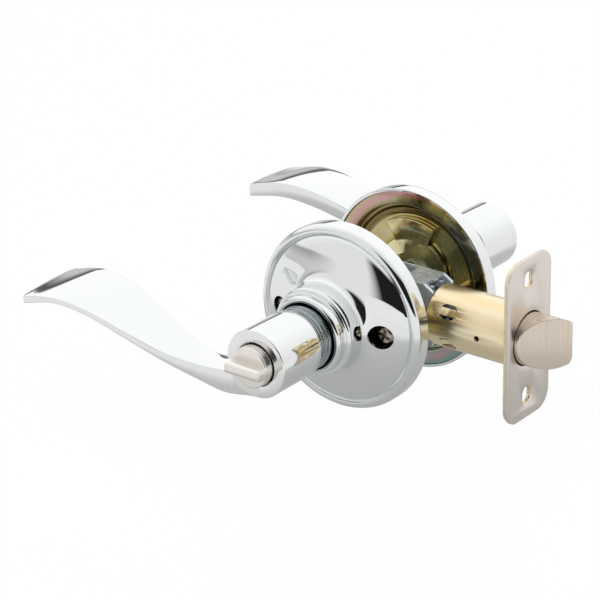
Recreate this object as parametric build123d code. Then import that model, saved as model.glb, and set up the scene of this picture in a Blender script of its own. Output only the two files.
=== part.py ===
# Privacy door lever set: two lever handles on round roses, and the tubular spring latch between them.
# Millimetres. The origin is where the spindle axis (Y) crosses the latch axis (X), at mid door.
# +Z is up, the room side with the turn button is -Y, and the latch bolt points to +X.
from build123d import *
import math
import os

# Door and fixing centres
DOOR_THICKNESS = 34.9
BACKSET = 60.3
SCREW_SPACING = 41.3
RUNNING = 0.06
SEATED = 0.03
GAP = 0.3

# Rose, a thin formed cover with a neck for the lever
ROSE_RADIUS = 32.6
ROSE_WALL = 1.0
ROSE_RIM_HEIGHT = 6.4
ROSE_SHOULDER = 2.4
ROSE_GROOVE_INSET = 3.0
ROSE_GROOVE_WIDTH = 1.1
ROSE_RIM_WIDTH = 3.6
ROSE_DOME_CROWN = 1.1
ROSE_DOME_HEIGHT = 5.2
ROSE_FLARE = 2.6
ROSE_FLARE_HEIGHT = 3.4
ROSE_FLARE_BOW = (0.26, 0.3)
NECK_RADIUS = 15.4
NECK_HEIGHT = 20.4
COLLAR_RADIUS = 13.7
COLLAR_HEIGHT = 3.6
COLLAR_ROUND = 1.2
COLLAR_MOUTH_GAP = 0.7
SCREW_WINDOW_RADIUS = 4.2

# Mounting plate, a dished steel plate behind the rose
PLATE_STEEL = 1.5
PLATE_RECESS = 0.6
DISH_RIM_WIDTH = 5.9
DISH_DEPTH = 3.6

# Lever hub and arm
HUB_RADIUS = 11.7
HUB_END = 68.0
HUB_START = 48.0
HUB_EDGE_ROUND = 0.8
HUB_END_WALL = 6.8
SHANK_RADIUS = 11.1
SHANK_START = 31.0
SHANK_GROOVE_DEPTH = 0.6
SHANK_GROOVE_WIDTH = 1.0
SHANK_GROOVES = (43.2, 45.6)
ARM_LENGTH = 95.0
ARM_CROWN = 0.5

# Spindle sleeve, its retaining ring and the spring driver
SLEEVE_RADIUS = 8.3
SLEEVE_WALL = 1.9
SLEEVE_END = 58.0
SLEEVE_FLATS = 14.8
SLEEVE_FLATS_START = 50.0
RING_RADIUS = 10.4
RING_WIDTH = 1.2
RING_GROOVE_DEPTH = 0.7
DRIVER_HUB_RADIUS = 14.4
DRIVER_WING_RADIUS = 21.4
DRIVER_WING_ANGLE = 92.0
DRIVER_WING_SPREAD = 54.0
DRIVER_THICKNESS = 2.6

# Spindle and privacy lock
SPINDLE_SIDE = 8.0
SPINDLE_BORE_RADIUS = 2.2
SPINDLE_REACH = 28.0
BUTTON_HOLE_GAP = 0.5
BUTTON_LEDGE = 0.4
BUTTON_FLANGE = 2.0
BUTTON_PROUD = 3.4
BUTTON_EDGE_ROUND = 0.5
BUTTON_RIB_HEIGHT = 4.6
BUTTON_RIB_WIDTH = 4.0
BUTTON_RIB_ROUND = 1.6
PRIVACY_BAR_RADIUS = 1.6
PLUG_RADIUS = 3.0
PLUG_SLOT_WIDTH = 1.2
PLUG_SLOT_DEPTH = 1.5

# Lever catch, pressed through the slot in the hub to take the lever off
CATCH_ANGLE = 162.0
CATCH_CENTRE = 54.6
CATCH_LENGTH = 6.0
CATCH_SLOT_GAP = 0.7
CATCH_WIDTH = 4.2
CATCH_NOSE = 10.3
CATCH_TRAVEL = 2.0
CATCH_FOOT = 1.0
CATCH_FOOT_LIP = 1.2
CATCH_SPRING_STRIP = 0.5

# Return spring wire
SPRING_WIRE = 1.6
SPRING_RADIUS = 12.6
SPRING_TURNS = 2.25
SPRING_PITCH = 1.8
SPRING_LEG = 5.0

# Fixing screws and posts
POST_RADIUS = 2.8
POST_REACH = 7.0
SCREW_RADIUS = 2.0
SCREW_REACH = 10.0
SCREW_HEAD_RADIUS = 3.7
SCREW_HEAD_HEIGHT = 3.0
SCREW_HEAD_ROUND = 1.2
PHILLIPS_WIDTH = 1.0
PHILLIPS_LENGTH = 4.6
PHILLIPS_DEPTH = 1.6

# Latch front
FACEPLATE_WIDTH = 25.4
FACEPLATE_HEIGHT = 57.15
FACEPLATE_CORNER = 6.35
FACEPLATE_STEEL = 1.0
BACK_PLATE_MARGIN = 0.5
FACEPLATE_HOLE_SPACING = 41.3
FACEPLATE_HOLE_RADIUS = 2.2
FACEPLATE_SLOT = 1.4
COUNTERSINK_RADIUS = 3.6
COUNTERSINK_DEPTH = 0.7

# Latch tube, bolt and its drive
TUBE_RADIUS = 10.6
TUBE_WALL = 0.8
TUBE_START = 26.4
TUBE_WINDOW_X = 34.2
TUBE_WINDOW_ANGLE = 33.0
TUBE_WINDOW_RADIUS = 2.6
TUBE_WINDOW_LENGTH = 1.8
TUBE_PIN_HOLE_RADIUS = 1.0
TUBE_PIN_HOLE_X = 46.7
BOLT_RADIUS = 9.0
BOLT_FLAT = 6.5
BOLT_THROW = 12.7
BOLT_BACK = 42.0
BOLT_NOSE_LAND = 1.8
BOLT_BORE_RADIUS = 3.7
BOLT_BORE_END = 57.0
TAIL_STEEL = 1.4
TAIL_GAUGE = 7.0
TAIL_FLANGE = 2.0
TAIL_FLANGE_RADIUS = 8.6
TAIL_SLOT = 4.5
TAIL_NECK = 7.2
TAIL_NECK_START = 24.0
TAIL_HUB_GAP = 0.5
TAIL_RAIL_GAP = 0.4
LATCH_TURN = 50.0
CAM_HUB_RADIUS = 7.6
CAM_ARM_RADIUS = 1.2
CAM_PIN_GAP = 0.6
TAIL_PIN_RADIUS = 1.0
TAIL_PIN_MARGIN = 0.6
CASE_STEEL = 1.2
CASE_GAUGE = 10.0
CASE_START = -14.0
CASE_HEIGHT = 11.8
CASE_ROOF_END = 22.6
CASE_THROAT = 9.6
RIVET_RADIUS = 1.8
RIVET_X = -11.6
RIVET_Z = 4.6
SEAT_X = 25.0
SEAT_STEEL = 1.6
SEAT_HALF_HEIGHT = 4.0
GUIDE_RADIUS = 1.7
GUIDE_END = 44.0
LATCH_SPRING_WIRE = 0.8
LATCH_SPRING_RADIUS = 2.9
LATCH_SPRING_TURNS = 12

DOOR_FACE = DOOR_THICKNESS / 2
RIM_TOP = DOOR_FACE + ROSE_RIM_HEIGHT
ROSE_GROOVE_RADIUS = ROSE_RADIUS - ROSE_GROOVE_INSET
ROSE_DOME_EDGE = ROSE_RADIUS - ROSE_RIM_WIDTH
DISH_RADIUS = ROSE_RADIUS - DISH_RIM_WIDTH
DOME_TOP = RIM_TOP + ROSE_DOME_HEIGHT
NECK_TOP = DOOR_FACE + NECK_HEIGHT
COLLAR_TOP = NECK_TOP + COLLAR_HEIGHT
DISH_FLOOR = DOOR_FACE + PLATE_RECESS + DISH_DEPTH
DISH_BACK = DISH_FLOOR + PLATE_STEEL
SLEEVE_BORE = SLEEVE_RADIUS - SLEEVE_WALL
DRIVER_START = DISH_FLOOR - GAP - DRIVER_THICKNESS
BUTTON_WALL = HUB_END - HUB_END_WALL
BUTTON_FLANGE_RADIUS = SLEEVE_RADIUS - GAP
BUTTON_HOLE_RADIUS = BUTTON_FLANGE_RADIUS - BUTTON_LEDGE
BUTTON_RADIUS = BUTTON_HOLE_RADIUS - BUTTON_HOLE_GAP
SCREW_X = SCREW_SPACING / 2
FACEPLATE_BACK = BACKSET - FACEPLATE_STEEL
BACK_PLATE_BACK = FACEPLATE_BACK - FACEPLATE_STEEL
TUBE_BORE = TUBE_RADIUS - TUBE_WALL
BOLT_TIP = BACKSET + BOLT_THROW
CAM_REACH = BOLT_THROW / (2 * math.sin(math.radians(LATCH_TURN / 2)))
CAM_PIN_X = BOLT_THROW / 2 - CAM_ARM_RADIUS - TAIL_PIN_RADIUS - CAM_PIN_GAP
CAM_PIN_Z = CAM_REACH * math.cos(math.radians(LATCH_TURN / 2))
CAM_SWEEP = CAM_REACH + CAM_ARM_RADIUS + GAP
CASE_ROOF_START = math.sqrt(CAM_SWEEP ** 2 - (CASE_HEIGHT - CASE_STEEL) ** 2) + GAP
TAIL_HALF = TAIL_GAUGE / 2
TAIL_RAIL_LOW = CAM_HUB_RADIUS + TAIL_HUB_GAP
TAIL_RAIL_HIGH = CASE_HEIGHT - CASE_STEEL - TAIL_RAIL_GAP
CASE_HALF = CASE_GAUGE / 2
CASE_TONGUE_END = BOLT_BACK - BOLT_THROW - GAP
CASE_TONGUE_HALF = math.sqrt(TUBE_BORE ** 2 - (CASE_HALF + CASE_STEEL) ** 2) - SEATED

# Arm stations: distance from the spindle, then the outer edge (depth, top, thickness)
# and the door-side edge (depth, top, thickness), with depth measured from mid door.
ARM_STATIONS = (
    (-2.0, (HUB_END, -4.0, 7.6), (54.0, -4.0, 7.6)),
    (-13.0, (HUB_END, -5.6, 8.0), (56.0, -5.0, 7.4)),
    (-24.0, (HUB_END, -6.6, 5.6), (57.4, -6.4, 5.2)),
    (-37.0, (70.6, -4.7, 3.3), (56.2, -3.3, 4.7)),
    (-51.0, (73.3, 0.0, 2.5), (53.1, 1.6, 5.6)),
    (-66.0, (75.0, 4.4, 2.0), (50.7, 6.3, 6.0)),
    (-80.0, (75.5, 5.5, 1.9), (49.3, 7.3, 5.6)),
    (-ARM_LENGTH, (74.9, 2.6, 2.9), (48.9, 3.7, 4.8)),
)


# The handles are drawn with local Z pointing away from the door and local Y pointing up.
def inside(shape):
    return Rot(90, 0, 0) * shape


def outside(shape):
    return mirror(inside(shape), about=Plane.XZ)


def turned(edges):
    return revolve(Plane.XZ * make_face(edges), Axis.Z)


def disc(radius, start, end):
    return Pos(0, 0, start) * Cylinder(radius, end - start, align=(Align.CENTER, Align.CENTER, Align.MIN))


def rod_x(radius, start, end):
    return Pos(start, 0, 0) * Rot(0, 90, 0) * disc(radius, 0, end - start)


def rod_y(radius, half):
    return Rot(90, 0, 0) * disc(radius, -half, half)


def block(x0, x1, y0, y1, z0, z1):
    centre = Pos((x0 + x1) / 2, (y0 + y1) / 2, (z0 + z1) / 2)
    return centre * Box(x1 - x0, y1 - y0, z1 - z0)


def sector(radius, start, end, middle, spread):
    reach = radius / math.cos(math.radians(spread / 4))
    rays = [(0, 0)]
    for share in (-0.5, 0, 0.5):
        angle = math.radians(middle + share * spread)
        rays.append((reach * math.cos(angle), reach * math.sin(angle)))
    wedge = extrude(make_face(Polyline(*rays, close=True)), end - start)
    return disc(radius, start, end) & Pos(0, 0, start) * wedge


# A coil made of quarter turns about local Z, swept by a round wire.
def coil(radius, pitch, turns, start, wire, leg=0.0):
    def point(turn):
        angle = 2 * math.pi * turn
        return Vector(radius * math.cos(angle), radius * math.sin(angle), start + pitch * turn)

    quarters = round(turns * 4)
    edges = []
    if leg:
        edges.append(Line(point(0) - Vector(0, leg, 0), point(0)))
    for number in range(quarters):
        first = number / 4
        edges.append(ThreePointArc(point(first), point(first + 0.125), point(first + 0.25)))
    if leg:
        last = point(quarters / 4)
        angle = math.pi * quarters / 2
        edges.append(Line(last, last + Vector(-math.sin(angle), math.cos(angle), 0) * leg))
    path = Wire(edges)
    section = Plane(origin=path @ 0, z_dir=path % 0) * Circle(wire / 2)
    return sweep(section, path=path)


# Rose cover
def rose_form(inset):
    rim = ROSE_RADIUS - inset
    top = RIM_TOP - inset
    shoulder = ROSE_SHOULDER
    bend = shoulder - inset
    diagonal = bend * math.sin(math.radians(45))
    pivot = (ROSE_RADIUS - shoulder, RIM_TOP - shoulder)
    neck = NECK_RADIUS - inset
    flare_start = (neck + ROSE_FLARE, DOME_TOP - inset)
    flare_end = (neck, DOME_TOP + ROSE_FLARE_HEIGHT - inset)
    across, up = ROSE_FLARE_BOW
    flare_middle = (neck + ROSE_FLARE * across, DOME_TOP + ROSE_FLARE_HEIGHT * up - inset)
    dome_edge = (ROSE_DOME_EDGE, top)
    dome_middle = (
        (dome_edge[0] + flare_start[0]) / 2,
        (dome_edge[1] + flare_start[1]) / 2 + ROSE_DOME_CROWN,
    )
    edges = [
        Line((0, DOOR_FACE), (rim, DOOR_FACE)),
        Line((rim, DOOR_FACE), (rim, pivot[1])),
        ThreePointArc((rim, pivot[1]), (pivot[0] + diagonal, pivot[1] + diagonal), (pivot[0], top)),
        Line((pivot[0], top), dome_edge),
        ThreePointArc(dome_edge, dome_middle, flare_start),
        ThreePointArc(flare_start, flare_middle, flare_end),
        Line(flare_end, (neck, NECK_TOP - inset)),
        Line((neck, NECK_TOP - inset), (0, NECK_TOP - inset)),
        Line((0, NECK_TOP - inset), (0, DOOR_FACE)),
    ]
    return turned(edges)


def rose():
    mouth = SHANK_RADIUS + COLLAR_MOUTH_GAP
    cover = rose_form(0)
    neck_edge = cover.edges().filter_by(GeomType.CIRCLE).group_by(Axis.Z)[-1]
    cover = fillet(neck_edge, ROSE_WALL)
    collar = disc(COLLAR_RADIUS, NECK_TOP - ROSE_WALL, COLLAR_TOP)
    collar = fillet(collar.edges().group_by(Axis.Z)[-1], COLLAR_ROUND)
    cover = cover + collar - rose_form(ROSE_WALL)
    cover -= disc(mouth, DOOR_FACE, COLLAR_TOP)
    groove = Pos(ROSE_GROOVE_RADIUS, RIM_TOP) * Circle(ROSE_GROOVE_WIDTH / 2)
    cover -= revolve(Plane.XZ * groove, Axis.Z)
    return cover


def inside_rose():
    cover = rose()
    for side in (-1, 1):
        cover -= Pos(side * SCREW_X, 0, 0) * disc(SCREW_WINDOW_RADIUS, DOOR_FACE, NECK_TOP)
    return cover


def collar_bush():
    outer = NECK_RADIUS - ROSE_WALL - SEATED
    start = DOME_TOP + ROSE_FLARE_HEIGHT
    end = NECK_TOP - ROSE_WALL
    return disc(outer, start, end) - disc(SHANK_RADIUS + RUNNING, start, end)


# Dished plate that carries the sleeve
def mounting_plate(screw_hole):
    outer = ROSE_RADIUS - ROSE_WALL - SEATED
    start = DOOR_FACE + PLATE_RECESS
    ring = disc(outer, start, start + PLATE_STEEL)
    dish = disc(DISH_RADIUS + PLATE_STEEL, start, DISH_BACK)
    dish = fillet(dish.edges().group_by(Axis.Z)[-1], PLATE_STEEL)
    plate = ring + dish - disc(DISH_RADIUS, start, DISH_FLOOR)
    plate -= disc(SLEEVE_RADIUS + RUNNING, start, DISH_BACK)
    for side in (-1, 1):
        plate -= Pos(side * SCREW_X, 0, 0) * disc(screw_hole, start, DISH_BACK)
    return plate


# Lever handle: arm, hub and shank
def arm_section(station):
    along, outer, door_side = station
    outer_depth, outer_top, outer_thick = outer
    door_depth, door_top, door_thick = door_side
    a = Vector(along, outer_top, outer_depth)
    b = Vector(along, door_top, door_depth)
    c = Vector(along, door_top - door_thick, door_depth)
    d = Vector(along, outer_top - outer_thick, outer_depth)
    crown = (a + b) * 0.5 + Vector(0, ARM_CROWN, 0)
    return Wire([ThreePointArc(a, crown, b), Line(b, c), Line(c, d), Line(d, a)])


def arm():
    return Solid.make_loft([arm_section(station) for station in ARM_STATIONS])


def flatted(radius, flats, start, end):
    return disc(radius, start, end) & Pos(0, 0, (start + end) / 2) * Box(2 * radius, flats, end - start)


def catch_block(clearance, inner, outer):
    length = CATCH_LENGTH + 2 * clearance
    width = CATCH_WIDTH + 2 * clearance
    bar = Pos((inner + outer) / 2, 0, CATCH_CENTRE) * Box(outer - inner, width, length)
    return Rot(0, 0, CATCH_ANGLE) * bar


def lever(end_hole):
    hub = disc(HUB_RADIUS, HUB_START, HUB_END)
    hub = fillet(hub.edges().group_by(Axis.Z)[0], HUB_EDGE_ROUND)
    handle = hub + disc(SHANK_RADIUS, SHANK_START, HUB_START)
    for place in SHANK_GROOVES:
        end = place + SHANK_GROOVE_WIDTH
        groove = disc(SHANK_RADIUS, place, end) - disc(SHANK_RADIUS - SHANK_GROOVE_DEPTH, place, end)
        handle -= groove
    handle += arm()
    handle -= disc(SLEEVE_RADIUS + SEATED, SHANK_START, SLEEVE_FLATS_START)
    handle -= flatted(SLEEVE_RADIUS + SEATED, SLEEVE_FLATS + 2 * SEATED, SLEEVE_FLATS_START, SLEEVE_END)
    handle -= disc(SLEEVE_RADIUS + SEATED, SLEEVE_END, BUTTON_WALL)
    handle -= disc(end_hole, BUTTON_WALL, 2 * HUB_END)
    handle -= catch_block(CATCH_SLOT_GAP, 0, 2 * HUB_RADIUS)
    return handle


# Sleeve that carries the lever, with its ring and spring driver
def spindle_sleeve():
    start = DRIVER_START + DRIVER_THICKNESS
    sleeve = disc(SLEEVE_RADIUS, start, SLEEVE_FLATS_START)
    sleeve += flatted(SLEEVE_RADIUS, SLEEVE_FLATS, SLEEVE_FLATS_START, SLEEVE_END)
    sleeve -= disc(SLEEVE_BORE, start, SLEEVE_END)
    ring_start = DISH_BACK + GAP
    ring_end = ring_start + RING_WIDTH
    root = SLEEVE_RADIUS - RING_GROOVE_DEPTH
    sleeve -= disc(SLEEVE_RADIUS, ring_start, ring_end) - disc(root, ring_start, ring_end)
    return sleeve - catch_block(RUNNING, 0, 2 * SLEEVE_RADIUS)


def retaining_ring():
    start = DISH_BACK + GAP
    root = SLEEVE_RADIUS - RING_GROOVE_DEPTH
    ring = disc(RING_RADIUS, start, start + RING_WIDTH) - disc(root, start, start + RING_WIDTH)
    opening = Pos(0, -RING_RADIUS, start + RING_WIDTH / 2) * Box(root, 2 * RING_RADIUS, RING_WIDTH)
    return ring - opening


def spring_driver():
    end = DRIVER_START + DRIVER_THICKNESS
    driver = disc(DRIVER_HUB_RADIUS, DRIVER_START, end)
    driver += sector(DRIVER_WING_RADIUS, DRIVER_START, end, DRIVER_WING_ANGLE, DRIVER_WING_SPREAD)
    side = SPINDLE_SIDE + 2 * RUNNING
    return driver - Pos(0, 0, (DRIVER_START + end) / 2) * Box(side, side, DRIVER_THICKNESS)


def return_spring():
    start = DISH_BACK + GAP + SPRING_WIRE / 2
    return coil(SPRING_RADIUS, SPRING_PITCH, SPRING_TURNS, start, SPRING_WIRE, SPRING_LEG)


# Catch in the hub slot, with its strip spring
def catch_foot_face():
    half = CATCH_WIDTH / 2 + CATCH_FOOT_LIP
    return math.sqrt(SLEEVE_BORE ** 2 - half ** 2) - RUNNING


def lever_catch():
    face = catch_foot_face()
    foot_width = CATCH_WIDTH + 2 * CATCH_FOOT_LIP
    room = SLEEVE_END - CATCH_CENTRE
    foot = Pos(face - CATCH_FOOT / 2, 0, CATCH_CENTRE) * Box(CATCH_FOOT, foot_width, 2 * room)
    nose = catch_block(0, face - CATCH_FOOT, CATCH_NOSE)
    return nose + Rot(0, 0, CATCH_ANGLE) * foot


def catch_spring():
    face = catch_foot_face() - CATCH_FOOT
    outer = SLEEVE_BORE - SEATED
    inner = outer - CATCH_SPRING_STRIP
    half = CATCH_LENGTH / 4
    strip = disc(outer, CATCH_CENTRE - half, CATCH_CENTRE + half)
    strip -= disc(inner, CATCH_CENTRE - half, CATCH_CENTRE + half)
    strip &= block(-SLEEVE_RADIUS, face - CATCH_TRAVEL - GAP, -SLEEVE_RADIUS, SLEEVE_RADIUS, 0, HUB_END)
    return Rot(0, 0, CATCH_ANGLE) * strip


# Privacy lock: turn button, bar through the spindle, slotted release plug
def turn_button():
    face = HUB_END + BUTTON_PROUD
    start = BUTTON_WALL - GAP - BUTTON_FLANGE
    flange = disc(BUTTON_FLANGE_RADIUS, start, BUTTON_WALL - GAP)
    body = disc(BUTTON_RADIUS, start, face)
    body = fillet(body.edges().group_by(Axis.Z)[-1], BUTTON_EDGE_ROUND)
    crest = face + BUTTON_RIB_HEIGHT
    blank = disc(BUTTON_RADIUS, HUB_END, crest)
    rib = Pos(0, 0, (HUB_END + crest) / 2) * Box(2 * BUTTON_RADIUS, BUTTON_RIB_WIDTH, crest - HUB_END)
    rib = fillet(rib.edges().filter_by(Axis.X).group_by(Axis.Z)[-1], BUTTON_RIB_ROUND)
    return body + flange + (rib & blank) - disc(PRIVACY_BAR_RADIUS, start, BUTTON_WALL)


def privacy_bar():
    return rod_y(PRIVACY_BAR_RADIUS, BUTTON_WALL)


def release_plug():
    start = BUTTON_WALL - GAP - BUTTON_FLANGE
    plug = disc(PLUG_RADIUS, start, HUB_END) + disc(BUTTON_FLANGE_RADIUS, start, BUTTON_WALL - GAP)
    slot = Pos(0, 0, HUB_END) * Box(2 * PLUG_RADIUS, PLUG_SLOT_WIDTH, 2 * PLUG_SLOT_DEPTH)
    return plug - slot - disc(PRIVACY_BAR_RADIUS, start, BUTTON_WALL)


def spindle():
    bar = Box(SPINDLE_SIDE, 2 * SPINDLE_REACH, SPINDLE_SIDE)
    return bar - rod_y(SPINDLE_BORE_RADIUS, SPINDLE_REACH)


# Fixing screws from the room side into posts on the far plate
def screw_posts():
    post = disc(POST_RADIUS, -POST_REACH, DISH_FLOOR) - disc(SCREW_RADIUS + SEATED, -POST_REACH, DISH_FLOOR)
    posts = [mirror(inside(Pos(side * SCREW_X, 0, 0) * post), about=Plane.XZ) for side in (-1, 1)]
    return Compound(children=[Solid(part.solid().wrapped) for part in posts])


def mounting_screws():
    seat = DISH_BACK
    head = disc(SCREW_HEAD_RADIUS, seat, seat + SCREW_HEAD_HEIGHT)
    head = fillet(head.edges().group_by(Axis.Z)[-1], SCREW_HEAD_ROUND)
    top = seat + SCREW_HEAD_HEIGHT
    cross = Box(PHILLIPS_LENGTH, PHILLIPS_WIDTH, 2 * PHILLIPS_DEPTH)
    cross += Box(PHILLIPS_WIDTH, PHILLIPS_LENGTH, 2 * PHILLIPS_DEPTH)
    screw = head + disc(SCREW_RADIUS, -SCREW_REACH, seat) - Pos(0, 0, top) * cross
    screws = [inside(Pos(side * SCREW_X, 0, 0) * screw) for side in (-1, 1)]
    return Compound(children=[Solid(part.solid().wrapped) for part in screws])


# Latch front plates
def front_plate(width, height, corner, start):
    outline = RectangleRounded(width, height, corner)
    plate = extrude(Plane.YZ * outline, FACEPLATE_STEEL)
    plate = Pos(start, 0, 0) * plate
    return plate - rod_x(BOLT_RADIUS + GAP, start, start + FACEPLATE_STEEL)


def screw_slot(start, end, start_radius, end_radius):
    half = FACEPLATE_SLOT / 2
    sides = [(start, -start_radius), (end, -end_radius), (end, end_radius), (start, start_radius)]
    slot = extrude(make_face(Polyline(*sides, close=True)), half, both=True)
    for up in (-half, half):
        end_cone = revolve(make_face(Polyline(*sides[2:], (start, 0), (end, 0), close=True)), Axis.X)
        slot += Pos(0, 0, up) * end_cone
    return slot


def latch_faceplate():
    plate = front_plate(FACEPLATE_WIDTH, FACEPLATE_HEIGHT, FACEPLATE_CORNER, FACEPLATE_BACK)
    sink_start = BACKSET - COUNTERSINK_DEPTH
    for side in (-1, 1):
        place = Pos(0, 0, side * FACEPLATE_HOLE_SPACING / 2)
        plate -= place * screw_slot(FACEPLATE_BACK, sink_start, FACEPLATE_HOLE_RADIUS, FACEPLATE_HOLE_RADIUS)
        plate -= place * screw_slot(sink_start, BACKSET, FACEPLATE_HOLE_RADIUS, COUNTERSINK_RADIUS)
    return plate


def latch_back_plate():
    width = FACEPLATE_WIDTH - 2 * BACK_PLATE_MARGIN
    height = FACEPLATE_HEIGHT - 2 * BACK_PLATE_MARGIN
    corner = FACEPLATE_CORNER - BACK_PLATE_MARGIN
    plate = front_plate(width, height, corner, BACK_PLATE_BACK)
    hole = screw_slot(BACK_PLATE_BACK, FACEPLATE_BACK, FACEPLATE_HOLE_RADIUS, FACEPLATE_HOLE_RADIUS)
    for side in (-1, 1):
        plate -= Pos(0, 0, side * FACEPLATE_HOLE_SPACING / 2) * hole
    return plate


# Tube with two lanced windows, a pin hole and the tabs that grip the case
def latch_tube():
    tube = rod_x(TUBE_RADIUS, TUBE_START, BACK_PLATE_BACK) - rod_x(TUBE_BORE, TUBE_START, BACK_PLATE_BACK)
    for face in (-1, 1):
        for side in (-1, 1):
            turn = Rot(face * side * TUBE_WINDOW_ANGLE, 0, 0)
            outline = SlotCenterToCenter(TUBE_WINDOW_LENGTH, 2 * TUBE_WINDOW_RADIUS)
            window = Pos(TUBE_WINDOW_X, 0, 0) * Rot(90, 0, 0) * extrude(outline, TUBE_RADIUS + TUBE_WALL)
            if face > 0:
                window = mirror(window, about=Plane.XZ)
            tube -= turn * window
    hole = Pos(TUBE_PIN_HOLE_X, 0, 0) * Rot(90, 0, 0) * disc(TUBE_PIN_HOLE_RADIUS, 0, 2 * TUBE_RADIUS)
    return tube - hole


# Bolt: flat-backed round bar with the strike bevel facing -Y
def latch_bolt():
    bolt = rod_x(BOLT_RADIUS, BOLT_BACK, BOLT_TIP)
    bolt &= block(BOLT_BACK, BOLT_TIP, -BOLT_RADIUS, BOLT_FLAT, -BOLT_RADIUS, BOLT_RADIUS)
    bevel_start = BACKSET + FACEPLATE_STEEL
    land = BOLT_FLAT - BOLT_NOSE_LAND
    reach = 2 * BOLT_RADIUS
    slope = (BOLT_TIP - bevel_start) / (land + BOLT_RADIUS)
    corners = [
        (bevel_start, -BOLT_RADIUS),
        (BOLT_TIP, land),
        (BOLT_TIP + reach * slope, land + reach),
        (BOLT_TIP + reach * slope, -BOLT_RADIUS),
    ]
    wedge = extrude(make_face(Polyline(*corners, close=True)), BOLT_RADIUS, both=True)
    bolt -= wedge
    return bolt - rod_x(BOLT_BORE_RADIUS, BOLT_BACK, BOLT_BORE_END)


# Forked tail that joins the bolt to the cam
def tail_plate_outline(side):
    rail_end = TAIL_NECK_START
    ear = TAIL_PIN_RADIUS + TAIL_PIN_MARGIN
    corners = [
        (CAM_PIN_X - ear, side * TAIL_RAIL_LOW),
        (rail_end - GAP, side * TAIL_RAIL_LOW),
        (rail_end - GAP, side * TAIL_SLOT),
        (BOLT_BACK - TAIL_FLANGE, side * TAIL_SLOT),
        (BOLT_BACK - TAIL_FLANGE, side * TAIL_NECK),
        (rail_end + GAP, side * TAIL_NECK),
        (rail_end + GAP, side * TAIL_RAIL_HIGH),
        (CAM_PIN_X + ear, side * TAIL_RAIL_HIGH),
        (CAM_PIN_X + ear, side * (CAM_PIN_Z + ear)),
        (CAM_PIN_X - ear, side * (CAM_PIN_Z + ear)),
    ]
    return make_face(Polyline(*corners, close=True))


def bolt_tail():
    flange_start = BOLT_BACK - TAIL_FLANGE
    tail = rod_x(TAIL_FLANGE_RADIUS, flange_start, BOLT_BACK)
    wide = CASE_HALF - GAP
    tail &= block(flange_start, BOLT_BACK, -wide, wide, -TAIL_FLANGE_RADIUS, TAIL_FLANGE_RADIUS)
    tail -= rod_x(BOLT_BORE_RADIUS, flange_start, BOLT_BACK)
    for side in (-1, 1):
        plate = extrude(Plane.XZ * tail_plate_outline(side), TAIL_STEEL)
        tail += Pos(0, -TAIL_HALF + TAIL_STEEL, 0) * plate
        tail += Pos(0, TAIL_HALF, 0) * plate
        hole = Pos(CAM_PIN_X, 0, side * CAM_PIN_Z) * rod_y(TAIL_PIN_RADIUS, TAIL_HALF)
        tail -= hole
    return tail


def tail_pins():
    pins = [Pos(CAM_PIN_X, 0, side * CAM_PIN_Z) * rod_y(TAIL_PIN_RADIUS, TAIL_HALF) for side in (-1, 1)]
    return Compound(children=[Solid(pin.solid().wrapped) for pin in pins])


# Cam on the spindle, with one arm for each way of turning
def latch_cam():
    cam = rod_y(CAM_HUB_RADIUS, CASE_HALF + CASE_STEEL + GAP)
    half = TAIL_HALF - TAIL_STEEL - GAP
    for side in (-1, 1):
        lean = Rot(0, side * LATCH_TURN / 2, 0)
        bar = block(-CAM_ARM_RADIUS, CAM_ARM_RADIUS, -half, half, 0, CAM_REACH)
        tip = Pos(0, 0, CAM_REACH) * rod_y(CAM_ARM_RADIUS, half)
        finger = bar + tip
        if side < 0:
            finger = mirror(finger, about=Plane.XY)
        cam += lean * finger
    hole = SPINDLE_SIDE + 2 * RUNNING
    return cam - Box(hole, 4 * CASE_GAUGE, hole)


# Case of two pressed steel halves, held by rivets and the spring seat
def latch_case(side):
    inner = CASE_HALF
    outer = CASE_HALF + CASE_STEEL
    upper = [
        (CASE_START, CASE_HEIGHT),
        (CASE_ROOF_END, CASE_HEIGHT),
        (TUBE_START - GAP, CASE_THROAT),
        (TUBE_START - GAP, CASE_TONGUE_HALF),
        (CASE_TONGUE_END, CASE_TONGUE_HALF),
    ]
    corners = [(x, -z) for x, z in upper] + upper[::-1]
    wall = extrude(Plane.XZ * make_face(Polyline(*corners, close=True)), CASE_STEEL)
    wall = Pos(0, -inner, 0) * wall
    for up in (-1, 1):
        low, high = sorted((up * CASE_HEIGHT, up * (CASE_HEIGHT - CASE_STEEL)))
        wall += block(CASE_ROOF_START, CASE_ROOF_END, -outer, 0, low, high)
    wall += block(CASE_START, CASE_START + CASE_STEEL, -outer, 0, -CASE_HEIGHT, CASE_HEIGHT)
    wall -= rod_y(CAM_HUB_RADIUS + RUNNING, outer)
    wall -= Pos(SCREW_X, 0, 0) * rod_y(POST_RADIUS + GAP, outer)
    for up in (-1, 1):
        wall -= Pos(RIVET_X, 0, up * RIVET_Z) * rod_y(RIVET_RADIUS, outer)
    wall -= block(SEAT_X, SEAT_X + SEAT_STEEL, -outer, outer, -SEAT_HALF_HEIGHT, SEAT_HALF_HEIGHT)
    if side > 0:
        wall = mirror(wall, about=Plane.XZ)
    return wall


def case_rivets():
    half = CASE_HALF + CASE_STEEL
    rivets = [Pos(RIVET_X, 0, up * RIVET_Z) * rod_y(RIVET_RADIUS, half) for up in (-1, 1)]
    return Compound(children=[Solid(rivet.solid().wrapped) for rivet in rivets])


def spring_seat():
    half = CASE_HALF + CASE_STEEL
    seat = block(SEAT_X, SEAT_X + SEAT_STEEL, -half, half, -SEAT_HALF_HEIGHT, SEAT_HALF_HEIGHT)
    return seat + rod_x(GUIDE_RADIUS, SEAT_X + SEAT_STEEL, GUIDE_END)


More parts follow.
